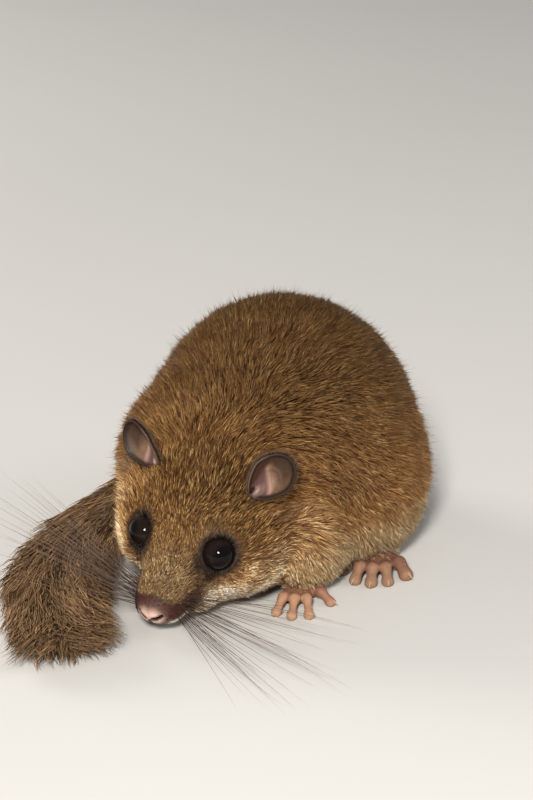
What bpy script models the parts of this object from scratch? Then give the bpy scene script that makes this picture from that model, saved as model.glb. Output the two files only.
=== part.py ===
"""An edible dormouse at life size, crouching on the floor with its head lowered, its left side a
little nearer, and its bushy tail laid round its right side to the front.

The animal faces -Y, its left is +X and +Z is up. Shapes are worked out in millimetres, from
rounded forms that flow into each other, and every finished mesh is written in metres. The flesh
solids reach out to the tips of the short coat. Locks of the long tail hair are modelled as such.
"""

import math

import bmesh
import bpy
import numpy as np
from mathutils import Matrix, Vector

MM = 0.001
GAP = 0.3  # between two pieces that touch
SOFT_BODY = 3.6  # how far the big forms of the body flow into each other
SOFT_HEAD = 1.5
SOFT_TOE = 0.55
SOFT_FLOOR = 1.2
BELLY_CLEARANCE = 0.8

# The head, measured from the tip of its nose: x to its left, y to its back, z to its crown.
NOSE = (-5.8, -58.4, 6.0)
HEAD_YAW = -4.5
HEAD_PITCH = 33.0
HEAD_ROLL = -7.7
EYE_PLACE = (9.7, 19.0, 3.4)
EYE_RADIUS = 3.8
EYE_AXIS = (0.84, -0.36, 0.40)
EAR_LENGTH = 13.0
EAR_WIDTH = 9.8
EAR_THICK = 0.9

TRUNK = (-1.6, 6.2, 28.9)
TRUNK_RADII = (33.0, 31.6, 33.2)
TAIL_HALF_WIDTH = 16.5
TAIL_HALF_HEIGHT = 7.2
TAIL_CORE = 0.48  # of the way to the tips of the hair
TAIL_CORE_END = 50  # of the 60 steps along the tail, the rest is hair alone
TAIL_CUTS = (20, 38)  # where its three lengths meet
LOCK_RINGS = 12
LOCKS_A_RING = 6
LOCK_LENGTH = 25.0
LOCK_WIDTH = 8.4
LOCK_THICK = 2.6

# Where the tail runs, on the floor: from the rump round the right flank to the front.
TAIL_ROUTE = (
    (-1.0, 33.0, 10.5),
    (-14.0, 40.5, 8.0),
    (-29.0, 37.0, 6.8),
    (-38.0, 24.0, 6.8),
    (-41.0, 6.0, 6.8),
    (-41.5, -12.0, 6.8),
    (-40.5, -30.0, 6.8),
    (-36.5, -47.0, 6.7),
    (-29.0, -62.5, 6.3),
    (-18.5, -76.0, 5.6),
)

WRISTS = {"left": (16.9, -24.5), "right": (-14.0, -29.5)}
HAND_TURN = {"left": 22.0, "right": -10.0}
HEELS = {"left": (27.5, -4.5), "right": (-17.5, -2.0)}
FOOT_TURN = {"left": 18.0, "right": -5.0}

FLESH = (0.34, 0.25, 0.15)
PINK = (0.72, 0.42, 0.38)
EAR_SKIN = (0.35, 0.21, 0.19)
EYE_BLACK = (0.012, 0.009, 0.008)


def turned(degrees, axis):
    return np.array(Matrix.Rotation(math.radians(degrees), 3, axis))


HEAD_TURN = turned(HEAD_YAW, "Z") @ turned(HEAD_PITCH, "X") @ turned(HEAD_ROLL, "Y").T


def on_head(place):
    """A point of the head, given from the tip of its nose, in the animal's own frame."""
    return np.array(NOSE) + HEAD_TURN @ np.array(place, float)


# Forms: each gives the distance of points to its surface, negative inside


class Egg:
    """An ellipsoid, turned by a rotation matrix."""

    def __init__(self, centre, radii, turn=None):
        self.centre = np.array(centre, float)
        self.radii = np.array(radii, float)
        self.turn = np.eye(3) if turn is None else turn

    def distance(self, points):
        local = (points - self.centre) @ self.turn / self.radii
        scale = np.linalg.norm(local, axis=1)
        slope = np.maximum(np.linalg.norm(local / self.radii, axis=1), 1e-9)
        return scale * (scale - 1) / slope

    def add_to(self, mesh):
        place = Matrix.Translation(self.centre) @ Matrix(self.turn).to_4x4()
        bmesh.ops.create_icosphere(
            mesh, subdivisions=3, radius=1, matrix=place @ Matrix.Diagonal((*self.radii, 1))
        )


class Rod:
    """A round bar that tapers between two round ends."""

    def __init__(self, start, end, start_radius, end_radius):
        self.start = np.array(start, float)
        self.along = np.array(end, float) - self.start
        self.radii = (start_radius, end_radius)

    def distance(self, points):
        out = points - self.start
        share = np.clip(out @ self.along / (self.along @ self.along), 0, 1)
        radius = self.radii[0] + share * (self.radii[1] - self.radii[0])
        return np.linalg.norm(out - share[:, None] * self.along, axis=1) - radius

    def add_to(self, mesh):
        steps = 5
        for step in range(steps + 1):
            share = step / steps
            radius = self.radii[0] + share * (self.radii[1] - self.radii[0])
            place = Matrix.Translation(self.start + share * self.along)
            bmesh.ops.create_icosphere(mesh, subdivisions=2, radius=radius, matrix=place)


class Ring:
    """A round ring, such as the rim of the lids."""

    def __init__(self, centre, axis, ring_radius, radius):
        self.centre = np.array(centre, float)
        self.axis = np.array(axis, float) / np.linalg.norm(axis)
        self.ring_radius = ring_radius
        self.radius = radius

    def distance(self, points):
        out = points - self.centre
        high = out @ self.axis
        wide = np.linalg.norm(out - high[:, None] * self.axis, axis=1) - self.ring_radius
        return np.hypot(wide, high) - self.radius


def flow(distances, soft):
    """The union of forms, flowing into each other over about soft."""
    stack = np.stack(distances)
    least = stack.min(axis=0)
    return least - soft * np.log(np.exp((least - stack) / soft).sum(axis=0))


def cut_softly(distance, cutter, soft):
    """What is left outside the cutter, with a rounded edge."""
    return -flow([-distance, cutter], soft)


def head_egg(place, radii):
    return Egg(on_head(place), radii, HEAD_TURN)


def both_sides(place):
    x, y, z = place
    return ((x, y, z), (-x, y, z))


BODY_FORMS = (
    Egg(TRUNK, TRUNK_RADII),
    Egg((-9.7, -12.5, 25.5), (27.1, 19.6, 22.0)),
    Egg((-6.0, -27.0, 20.0), (19.0, 13.0, 15.0)),
    Egg((21.8, 3.0, 18.5), (14.1, 20.0, 18.7)),
    Egg((-20.5, 6.0, 15.5), (14.5, 20.0, 16.0)),
    Egg((-1.0, 26.0, 17.0), (17.0, 12.5, 15.0)),
    Egg((18.0, -21.0, 11.0), (7.5, 9.5, 10.0)),
    Egg((-15.5, -24.0, 11.0), (7.5, 9.5, 10.0)),
    Egg((-2.0, -30.0, 9.5), (13.0, 10.0, 8.0)),
)

HEAD_FORMS = (
    head_egg((0, 30.9, 2.6), (13.2, 13.0, 10.6)),
    head_egg((0, 20.4, 0.9), (8.9, 12.4, 7.7)),
    head_egg((0, 11.0, -0.2), (5.1, 9.6, 4.6)),
    head_egg((0, 4.3, 0.0), (3.2, 4.1, 3.0)),
    *(head_egg(place, (7.7, 11.4, 8.2)) for place in both_sides((11.6, 26.6, -4.1))),
    *(head_egg(place, (3.3, 4.9, 3.5)) for place in both_sides((5.2, 13.5, -7.9))),
    *(head_egg(place, (3.4, 6.0, 3.4)) for place in both_sides((2.9, 7.9, -2.2))),
    head_egg((0, 12.5, -6.0), (4.2, 9.0, 3.2)),
    head_egg((0, 27.4, -8.0), (8.4, 12.0, 5.5)),
)
NOSE_PAD = head_egg((0, 2.0, 0.3), (2.7, 2.3, 2.3))


def mouth_route(side):
    """The line of the mouth on one side, from under the nose to its corner."""
    places = ((0.0, 0.9, -3.1), (2.9, 2.2, -4.9), (5.0, 5.6, -5.6), (6.0, 9.5, -5.2), (6.6, 12.5, -4.4))
    return [on_head((side * x, y, z)) for x, y, z in places]


def face_cuts():
    """Narrow grooves: the mouth, the cleft under the nose, and the nostrils."""
    cuts = []
    for side in (1, -1):
        route = mouth_route(side)
        cuts += [Rod(a, b, 0.75, 0.75) for a, b in zip(route, route[1:])]
        cuts.append(Rod(on_head((side * 1.2, -0.3, 0.2)), on_head((side * 2.7, 0.9, 0.7)), 0.8, 0.55))
    cuts.append(Rod(on_head((0, -0.8, -0.6)), on_head((0, 0.4, -3.3)), 0.5, 0.6))
    return cuts


FACE_CUTS = face_cuts()


def eye_place(side):
    x, y, z = EYE_PLACE
    return on_head((side * x, y, z))


def eye_axis(side):
    x, y, z = EYE_AXIS
    return HEAD_TURN @ np.array((side * x, y, z))


LIDS = [
    Ring(eye_place(side) + 1.3 * eye_axis(side), eye_axis(side), EYE_RADIUS - 0.05, 0.85)
    for side in (1, -1)
]


def body_field(points):
    """The coat's outline of trunk, neck and head, without the fine forms of the face."""
    head = flow([form.distance(points) for form in HEAD_FORMS], SOFT_HEAD)
    body = flow([form.distance(points) for form in BODY_FORMS], SOFT_BODY)
    whole = flow([head, body], SOFT_BODY)
    return cut_softly(whole, points[:, 2] - BELLY_CLEARANCE, SOFT_FLOOR)


def head_field(points):
    """The same outline with nose, lids, mouth and nostrils."""
    face = flow([body_field(points), NOSE_PAD.distance(points)], 0.5)
    face = flow([face] + [lid.distance(points) for lid in LIDS], 0.45)
    for cut in FACE_CUTS:
        face = cut_softly(face, cut.distance(points), 0.3)
    return face


# Meshes from forms


def new_object(name, mesh):
    shape = bpy.data.objects.new(name, mesh)
    bpy.context.scene.collection.objects.link(shape)
    return shape


def from_bmesh(name, mesh):
    data = bpy.data.meshes.new(name)
    bmesh.ops.recalc_face_normals(mesh, faces=mesh.faces)
    mesh.to_mesh(data)
    mesh.free()
    return new_object(name, data)


def apply_modifiers(shape):
    """Puts the evaluated mesh in place of the object's modifiers."""
    graph = bpy.context.evaluated_depsgraph_get()
    made = bpy.data.meshes.new_from_object(shape.evaluated_get(graph))
    old = shape.data
    shape.modifiers.clear()
    shape.data = made
    bpy.data.meshes.remove(old)


def positions(shape):
    points = np.empty(len(shape.data.vertices) * 3)
    shape.data.vertices.foreach_get("co", points)
    return points.reshape(-1, 3)


def set_positions(shape, points):
    shape.data.vertices.foreach_set("co", points.ravel())
    shape.data.update()


def evened(points, edges):
    """Each point moved half way to the middle of its neighbours."""
    total = np.zeros_like(points)
    count = np.zeros(len(points))
    for one, other in ((0, 1), (1, 0)):
        np.add.at(total, edges[:, one], points[edges[:, other]])
        np.add.at(count, edges[:, one], 1)
    return 0.5 * points + 0.5 * total / count[:, None]


def settled(points, field, longest=1.0):
    """Points moved along the field's slope onto its surface."""
    step = 0.05
    value = field(points)
    slope = np.stack(
        [(field(points + step * axis) - field(points - step * axis)) / (2 * step) for axis in np.eye(3)],
        axis=1,
    )
    length = np.maximum(np.linalg.norm(slope, axis=1), 0.3)
    move = np.clip(value / length, -longest, longest)
    return points - (move / length)[:, None] * slope


def remesh_evenly(shape, voxel):
    remesh = shape.modifiers.new("remesh", "REMESH")
    remesh.mode = "VOXEL"
    remesh.voxel_size = voxel
    apply_modifiers(shape)


def flowing_mesh(name, forms, field, voxel, crop=None, rounds=5):
    """A closed mesh of even squares on the field's surface, begun from its rounded forms."""
    start = bmesh.new()
    for form in forms:
        form.add_to(start)
    shape = from_bmesh(name, start)
    remesh_evenly(shape, voxel)
    if crop:
        cut_by_plane(shape, *crop)
        remesh_evenly(shape, voxel)
    edges = np.empty(len(shape.data.edges) * 2, int)
    shape.data.edges.foreach_get("vertices", edges)
    edges = edges.reshape(-1, 2)
    points = positions(shape)
    for _ in range(rounds):
        points = evened(points, edges)
        points = settled(settled(points, field), field)
    set_positions(shape, points)
    return shape


def thin_out(shape, triangles):
    """Fewer triangles, kept where the shape is most curved."""
    faces = sum(len(face.vertices) - 2 for face in shape.data.polygons)
    decimate = shape.modifiers.new("decimate", "DECIMATE")
    decimate.ratio = triangles / faces
    decimate.use_collapse_triangulate = True
    apply_modifiers(shape)


# Cutting and seating


def boolean(shape, other, operation):
    cut = shape.modifiers.new(operation, "BOOLEAN")
    cut.operation = operation
    cut.solver = "MANIFOLD"
    cut.object = other
    apply_modifiers(shape)


def dropped(shape):
    bpy.data.objects.remove(shape)


def copy_of(shape, name):
    return new_object(name, shape.data.copy())


def box(name, low, high):
    mesh = bmesh.new()
    middle = (Vector(low) + Vector(high)) / 2
    size = Vector(high) - Vector(low)
    bmesh.ops.create_cube(mesh, size=1, matrix=Matrix.Translation(middle) @ Matrix.Diagonal((*size, 1)))
    return from_bmesh(name, mesh)


def floor_block():
    return box("floor", (-150, -150, -30), (150, 150, 0))


def half_space(name, point, normal, reach=160.0):
    """A large block whose one face lies in the plane, with the block on the normal's side."""
    turn = Vector(normal).to_track_quat("Z", "Y").to_matrix().to_4x4()
    mesh = bmesh.new()
    place = Matrix.Translation(point) @ turn @ Matrix.Translation((0, 0, reach / 2))
    bmesh.ops.create_cube(mesh, size=reach, matrix=place)
    return from_bmesh(name, mesh)


def cut_by_plane(shape, point, normal):
    """Takes away what lies on the normal's side of the plane."""
    block = half_space("block", point, normal)
    boolean(shape, block, "DIFFERENCE")
    dropped(block)


def egg_block(form, grow):
    mesh = bmesh.new()
    place = Matrix.Translation(form.centre) @ Matrix(form.turn).to_4x4()
    radii = form.radii + grow
    bmesh.ops.create_icosphere(mesh, subdivisions=3, radius=1, matrix=place @ Matrix.Diagonal((*radii, 1)))
    return from_bmesh("egg_block", mesh)


def grown(shape, by):
    """A copy of the shape, larger all round."""
    larger = copy_of(shape, shape.name + "_grown")
    normals = np.empty(len(larger.data.vertices) * 3)
    larger.data.vertices.foreach_get("normal", normals)
    set_positions(larger, positions(larger) + by * normals.reshape(-1, 3))
    return larger


def meets(one, other):
    """Whether the boxes around two shapes overlap."""
    first, second = positions(one), positions(other)
    low = np.maximum(first.min(axis=0), second.min(axis=0))
    high = np.minimum(first.max(axis=0), second.max(axis=0))
    return bool((low < high).all())


def make_room(hosts, room):
    """Takes the room's shape out of every host that it meets."""
    for host in hosts:
        if meets(host, room):
            boolean(host, room, "DIFFERENCE")
    dropped(room)


def keep_largest(shape):
    """Leaves only the largest closed surface."""
    mesh = bmesh.new()
    mesh.from_mesh(shape.data)
    left = set(mesh.verts)
    islands = []
    while left:
        island, front = set(), [left.pop()]
        while front:
            vert = front.pop()
            island.add(vert)
            near = [edge.other_vert(vert) for edge in vert.link_edges]
            fresh = [other for other in near if other in left]
            left.difference_update(fresh)
            front.extend(fresh)
        islands.append(island)
    islands.sort(key=len)
    for island in islands[:-1]:
        bmesh.ops.delete(mesh, geom=list(island), context="VERTS")
    mesh.to_mesh(shape.data)
    mesh.free()


# The sub-parts

NECK_FRONT = (on_head((0, 36.7, 4.0)), HEAD_TURN @ np.array((0.0, 0.97, -0.24)))
NECK_BACK = (np.array((-3.0, -17.6, 26.0)), np.array((0.03, 0.97, 0.24)))
THIGHS = {"left": Egg((27.0, 4.0, 12.0), (14.5, 18.0, 15.5)), "right": Egg((-29.0, 7.0, 12.0), (14.5, 18.0, 15.5))}
ARMS = {"left": Egg((21.5, -24.5, 8.0), (9.0, 10.5, 10.0)), "right": Egg((-17.5, -27.0, 8.0), (9.0, 10.5, 10.0))}


# Torso, thighs, arms, neck, head and the three lengths of the tail.
TRIANGLES = (1800, 560, 560, 420, 420, 740, 4600, 1750, 1500, 1200)
LIMBS = [(f"thigh_{side}", form) for side, form in THIGHS.items()]
LIMBS += [(f"arm_{side}", form) for side, form in ARMS.items()]


def make_trunk():
    """Torso, neck, thighs and arms, cut from one flowing mesh."""
    whole = flowing_mesh("torso", BODY_FORMS + HEAD_FORMS, body_field, voxel=1.3)
    thin_out(whole, 3000)
    parts = [whole]
    for name, form in LIMBS:
        inner = egg_block(form, -GAP / 2)
        limb = copy_of(whole, name)
        boolean(limb, inner, "INTERSECT")
        dropped(inner)
        parts.append(limb)
    for _, form in LIMBS:
        make_room([whole], egg_block(form, GAP / 2))
    neck = copy_of(whole, "neck")
    parts.append(neck)
    point, normal = NECK_FRONT
    cut_by_plane(neck, point + GAP * normal, -normal)
    point, normal = NECK_BACK
    cut_by_plane(neck, point, normal)
    cut_by_plane(whole, point + GAP * normal, -normal)
    return parts


def make_head():
    limit = -16.0

    def field(points):
        return np.maximum(head_field(points), points[:, 1] - limit)

    forms = HEAD_FORMS + (NOSE_PAD,) + BODY_FORMS
    head = flowing_mesh("head", forms, field, voxel=0.5, crop=((0, limit, 0), (0, 1, 0)))
    thin_out(head, 6500)
    for _, form in LIMBS:
        make_room([head], egg_block(form, GAP / 2))
    cut_by_plane(head, *NECK_FRONT)
    return head


def make_eye(side, name):
    mesh = bmesh.new()
    bmesh.ops.create_icosphere(
        mesh, subdivisions=3, radius=EYE_RADIUS, matrix=Matrix.Translation(eye_place(side))
    )
    return from_bmesh(name, mesh)


# Each ear: where it stands on the head, where its tip points, and where its cup opens to.
EARS = {
    "left": ((13.8, 32.0, 10.0), (7.1, 10.0, 6.0), (0.45, -0.60, 0.66)),
    "right": ((-12.4, 32.0, 9.6), (-9.0, 6.6, 5.6), (-0.35, -0.80, 0.48)),
}


def ear_surface(across, along):
    """A point of the ear's middle surface: across from -1 to 1, along from 0 at its root."""
    round_x = across * math.sqrt(1 - (2 * along - 1) ** 2 / 2)
    round_y = (2 * along - 1) * math.sqrt(1 - across**2 / 2)
    height = (round_y + 1) / 2
    narrow = 0.62 + 0.38 * min(1.0, height / 0.55)
    x = 0.5 * EAR_WIDTH * round_x * narrow
    y = EAR_LENGTH * height
    bowl = 1 - min(1.0, round_x**2 + (0.75 * round_y) ** 2)
    return Vector((x, y, -3.1 * bowl + 0.8 * height**2))


def make_ear(side, name):
    root, tip, opening = EARS[side]
    up = Vector(HEAD_TURN @ np.array(tip)).normalized()
    out = Vector(HEAD_TURN @ np.array(opening))
    out = (out - out.dot(up) * up).normalized()
    turn = Matrix((up.cross(out), up, out)).transposed().to_4x4()
    mesh = bmesh.new()
    bmesh.ops.create_grid(mesh, x_segments=9, y_segments=8, size=1)
    for vert in mesh.verts:
        vert.co = ear_surface(vert.co.x, (vert.co.y + 1) / 2)
    bmesh.ops.triangulate(mesh, faces=mesh.faces)
    bmesh.ops.transform(mesh, matrix=Matrix.Translation(on_head(root)) @ turn, verts=mesh.verts)
    ear = from_bmesh(name, mesh)
    solidify = ear.modifiers.new("solidify", "SOLIDIFY")
    solidify.thickness = EAR_THICK
    solidify.offset = 0
    apply_modifiers(ear)
    return ear


# Hands and feet: x is across, y runs back from the middle of the palm, z is up


def toe_forms(root, heading, length, radius, lift):
    """A toe that arches up from its root and comes down on its pad, with a short claw."""
    direction = np.array((math.sin(math.radians(heading)), -math.cos(math.radians(heading)), 0))
    root = np.array(root, float)
    knuckle = root + direction * length * 0.5 + np.array((0, 0, lift))
    pad = root + direction * length
    pad[2] = radius * 0.9
    claw_root = pad + direction * radius * 0.5 + np.array((0, 0, radius * 0.45))
    claw_tip = claw_root + direction * 1.5 + np.array((0, 0, -radius * 0.75))
    return [
        Rod(root, knuckle, radius * 1.12, radius),
        Rod(knuckle, pad, radius, radius * 0.9),
        Egg(pad, (radius * 1.08,) * 3),
        Rod(claw_root, claw_tip, 0.45, 0.28),
    ]


def hand_forms():
    forms = [
        Egg((0, 0.5, 1.7), (3.7, 3.8, 2.0)),
        Rod((0, 2.5, 2.3), (0, 7.5, 6.0), 2.2, 2.6),
    ]
    for x, heading, length in ((-2.7, -17, 9.2), (-0.9, -4, 10.8), (1.0, 8, 10.4), (2.8, 50, 5.8)):
        forms += toe_forms((x, -1.6, 1.8), heading, length, 1.1, 0.9)
    return forms


def foot_forms():
    forms = [
        Egg((0, 0.5, 2.0), (5.0, 4.2, 2.3)),
        Egg((0, 8.0, 2.1), (3.9, 9.0, 2.5)),
        Rod((0.3, 13.5, 2.4), (0.5, 12.0, 7.0), 2.6, 3.2),
    ]
    toes = ((-4.2, 0.4, -36, 5.6, 1.35), (-2.4, -2.2, -14, 7.0, 1.4), (0.0, -2.8, -1, 7.4, 1.4))
    for x, y, heading, length, radius in toes + ((2.4, -2.3, 12, 7.0, 1.4), (4.3, -0.3, 34, 6.4, 1.7)):
        forms += toe_forms((x, y, 2.1), heading, length, radius, 1.1)
    return forms


def make_paw(name, forms, place, turn, mirrored, triangles):
    """A hand or foot flat on the floor, and the room it needs in its limb."""

    def skin(points):
        return flow([form.distance(points) for form in forms], SOFT_TOE)

    def room_skin(points):
        return skin(points) - 1.7 * GAP

    paw = flowing_mesh(name, forms, skin, voxel=0.42)
    thin_out(paw, triangles)
    room = flowing_mesh(name + "_room", forms, room_skin, voxel=0.7)
    thin_out(room, 440)
    flip = Matrix.Diagonal((-1 if mirrored else 1, 1, 1, 1))
    # The pads are sunk a little, so that they are flat below.
    sunk = Matrix.Translation((*place, -0.25))
    for shape in (paw, room):
        shape.data.transform(sunk @ Matrix.Rotation(math.radians(turn), 4, "Z") @ flip)
        if mirrored:
            shape.data.flip_normals()
    make_room([paw], floor_block())
    return paw, room


# The tail


def smooth_route(points, count):
    """Evenly spaced points on a smooth curve through the given ones."""
    points = np.array(points)
    fine = []
    for i in range(len(points) - 1):
        before = points[max(i - 1, 0)]
        after = points[min(i + 2, len(points) - 1)]
        for t in np.arange(0, 1, 0.05):
            slope_in = (points[i + 1] - before) / 2
            slope_out = (after - points[i]) / 2
            fine.append(
                (2 * t**3 - 3 * t**2 + 1) * points[i]
                + (t**3 - 2 * t**2 + t) * slope_in
                + (3 * t**2 - 2 * t**3) * points[i + 1]
                + (t**3 - t**2) * slope_out
            )
    fine = np.array(fine + [points[-1]])
    length = np.concatenate([[0], np.cumsum(np.linalg.norm(np.diff(fine, axis=0), axis=1))])
    at = np.linspace(0, length[-1], count)
    return np.stack([np.interp(at, length, fine[:, k]) for k in range(3)], axis=1)


TAIL_STEPS = 60
TAIL_LINE = smooth_route(TAIL_ROUTE, TAIL_STEPS + 1)
TAIL_STEP = float(np.linalg.norm(TAIL_LINE[1] - TAIL_LINE[0]))


def tail_frame(at):
    """Place, direction, side and up at a point of the tail's line, counted in its steps."""
    at = min(max(at, 0.0), float(TAIL_STEPS))
    steps = np.arange(TAIL_STEPS + 1)
    place = np.array([np.interp(at, steps, TAIL_LINE[:, k]) for k in range(3)])
    low, high = max(int(at) - 1, 0), min(int(at) + 2, TAIL_STEPS)
    along = Vector(TAIL_LINE[high] - TAIL_LINE[low]).normalized()
    side = along.cross(Vector((0, 0, 1))).normalized()
    return Vector(place), along, side, side.cross(along)


def tail_fullness(at):
    """How bushy the tail is, from 0 to 1, along its length."""
    share = at / TAIL_STEPS
    rise = min(1.0, max(0.0, (share - 0.3) / 0.45))
    swell = 0.52 + 0.48 * rise * rise * (3 - 2 * rise)
    return swell * math.sqrt(max(0.04, 1 - max(0.0, (share - 0.76) / 0.25) ** 2))


def tail_point(at, angle, reach):
    """A point of the tail's cross-section: reach is 0 at its middle and 1 at the hair's tips."""
    place, _, side, up = tail_frame(at)
    full = tail_fullness(at)
    wide = TAIL_HALF_WIDTH * full
    high = TAIL_HALF_HEIGHT * min(1.0, 0.75 + 0.4 * full) * min(1.0, 2.5 * full)
    return place + reach * (wide * math.cos(angle) * side + high * math.sin(angle) * up)


def tail_tube(name, last, reach, step=2, sides=10):
    mesh = bmesh.new()
    rings = []
    for at in range(0, last + 1, step):
        angles = [2 * math.pi * k / sides for k in range(sides)]
        rings.append([mesh.verts.new(tail_point(at, angle, reach)) for angle in angles])
    for one, other in zip(rings, rings[1:]):
        for k in range(sides):
            mesh.faces.new((one[k], one[(k + 1) % sides], other[(k + 1) % sides], other[k]))
    mesh.faces.new(rings[0])
    mesh.faces.new(rings[-1])
    bmesh.ops.triangulate(mesh, faces=mesh.faces)
    return from_bmesh(name, mesh)


def make_lock(name, at, angle, length, turn, reach):
    """A flat lock that rises out of the tail's core, bends back along it and tapers to its tip."""
    stations = ((0.0, 0.75, 1.0), (0.38, 1.0, 1.0), (0.72, 0.68, 0.7))
    start = TAIL_CORE * 0.62

    def centre(t):
        lift = start + (reach - start) * math.sin(math.pi / 2 * t) ** 0.9
        return tail_point(at + t * length / TAIL_STEP, angle + turn * t, lift)

    mesh = bmesh.new()
    rings = []
    for t, wide, thick in stations:
        place = centre(t)
        along = (centre(min(t + 0.1, 1.0)) - centre(max(t - 0.1, 0.0))).normalized()
        out = (place - tail_frame(at + t * length / TAIL_STEP)[0]).normalized()
        side = along.cross(out).normalized()
        out = side.cross(along)
        half, flat = 0.5 * LOCK_WIDTH * wide, 0.5 * LOCK_THICK * thick
        corners = (half * side, flat * out, -half * side, -flat * out)
        rings.append([mesh.verts.new(place + corner) for corner in corners])
    tip = mesh.verts.new(centre(1.0))
    for one, other in zip(rings, rings[1:]):
        for k in range(4):
            mesh.faces.new((one[k], one[(k + 1) % 4], other[(k + 1) % 4], other[k]))
    for k in range(4):
        mesh.faces.new((rings[-1][k], rings[-1][(k + 1) % 4], tip))
    mesh.faces.new(rings[0])
    bmesh.ops.triangulate(mesh, faces=mesh.faces)
    return from_bmesh(name, mesh)


def make_locks():
    """Rings of locks, each ring turned against the last, with a fan beyond the core's end."""
    chance = np.random.default_rng(11)
    locks = []
    for ring in range(LOCK_RINGS):
        at = 1.0 + (TAIL_CORE_END - 3.0) * ring / (LOCK_RINGS - 1)
        for k in range(LOCKS_A_RING):
            spread = (k + 0.5 * (ring % 2) + chance.uniform(-0.16, 0.16)) / LOCKS_A_RING
            length = LOCK_LENGTH * chance.uniform(0.85, 1.12)
            turn = chance.uniform(-0.14, 0.14)
            reach = chance.uniform(0.86, 0.96)
            place = at + chance.uniform(-0.9, 0.9)
            locks.append(make_lock(f"lock_{len(locks)}", place, 2 * math.pi * spread, length, turn, reach))
    return locks


def unite(shape, pieces):
    """Joins all pieces to the shape in one union."""
    group = bpy.data.collections.new("pieces")
    bpy.context.scene.collection.children.link(group)
    for piece in pieces:
        bpy.context.scene.collection.objects.unlink(piece)
        group.objects.link(piece)
    union = shape.modifiers.new("union", "BOOLEAN")
    union.operation = "UNION"
    union.operand_type = "COLLECTION"
    union.collection = group
    union.solver = "MANIFOLD"
    apply_modifiers(shape)
    for piece in pieces:
        dropped(piece)
    bpy.data.collections.remove(group)


def make_tail():
    """The tail in three lengths, cut from one core with its locks."""
    whole = tail_tube("tail_base", TAIL_CORE_END, TAIL_CORE)
    unite(whole, make_locks())
    middle, end = copy_of(whole, "tail_middle"), copy_of(whole, "tail_end")
    pieces = (whole, middle, end)
    for cut, before, after in zip(TAIL_CUTS, pieces, pieces[1:]):
        place, along, _, _ = tail_frame(cut)
        cut_by_plane(before, place, along)
        cut_by_plane(after, place + GAP * along, -along)
    return list(pieces)


# Materials, place and the whole


def paint(shape, name, colour, roughness):
    material = bpy.data.materials.get(name)
    if material is None:
        material = bpy.data.materials.new(name)
        material.use_nodes = True
        shader = material.node_tree.nodes["Principled BSDF"]
        shader.inputs["Base Color"].default_value = (*colour, 1)
        shader.inputs["Roughness"].default_value = roughness
        shader.inputs["Metallic"].default_value = 0
    shape.data.materials.clear()
    shape.data.materials.append(material)


def stand_on_origin(shapes):
    """Moves the animal so that the middle of its footprint is the origin, and writes it in metres."""
    every = np.concatenate([positions(shape) for shape in shapes])
    low, high = every.min(axis=0), every.max(axis=0)
    middle = (low + high) / 2
    shift = Matrix.Translation((-middle[0], -middle[1], -low[2]))
    for shape in shapes:
        shape.data.transform(Matrix.Scale(MM, 4) @ shift)


def main():
    for old in list(bpy.data.objects):
        bpy.data.objects.remove(old)
    flesh = [*make_trunk(), make_head()]
    eyes = [make_eye(1, "eye_left"), make_eye(-1, "eye_right")]
    ears = [make_ear("left", "ear_left"), make_ear("right", "ear_right")]
    for guest in eyes + ears:
        make_room(flesh, grown(guest, GAP))
    paws = []
    for side in WRISTS:
        for kind, forms, places, turns, triangles in (
            ("hand", hand_forms(), WRISTS, HAND_TURN, 500),
            ("foot", foot_forms(), HEELS, FOOT_TURN, 600),
        ):
            name = f"{kind}_{side}"
            paw, room = make_paw(name, forms, places[side], turns[side], side == "right", triangles)
            make_room(flesh, room)
            paws.append(paw)
    tail = make_tail()
    hair = tail_tube("tail_hair", TAIL_STEPS, 1.0, sides=20)
    make_room(flesh, grown(hair, 3 * GAP))
    dropped(hair)
    for shape in flesh:
        paint(shape, "coat", FLESH, 0.8)
    for shape in tail:
        paint(shape, "tail_coat", FLESH, 0.8)
    for shape in eyes:
        paint(shape, "eye", EYE_BLACK, 0.05)
    for shape in ears:
        paint(shape, "ear_skin", EAR_SKIN, 0.5)
    for shape in paws:
        paint(shape, "paw_skin", PINK, 0.5)
    for shape, triangles in zip(flesh + tail, TRIANGLES):
        keep_largest(shape)
        thin_out(shape, triangles)
    make_room(tail, floor_block())
    for shape in tail:
        keep_largest(shape)
    stand_on_origin(flesh + eyes + ears + paws + tail)


main()
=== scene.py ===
"""The looks of a crouching edible dormouse: skin, coat, eyes, ears, claws, whiskers and bushy tail.

Shapes are worked out in millimetres in the animal's own frame, where it faces -Y, its left is +X
and +Z is up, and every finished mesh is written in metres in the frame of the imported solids.
"""

import math

import bmesh
import bpy
import numpy as np
from bpy.props import FloatProperty, FloatVectorProperty, IntProperty, PointerProperty
from mathutils import Matrix, Vector
from mathutils.kdtree import KDTree


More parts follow.
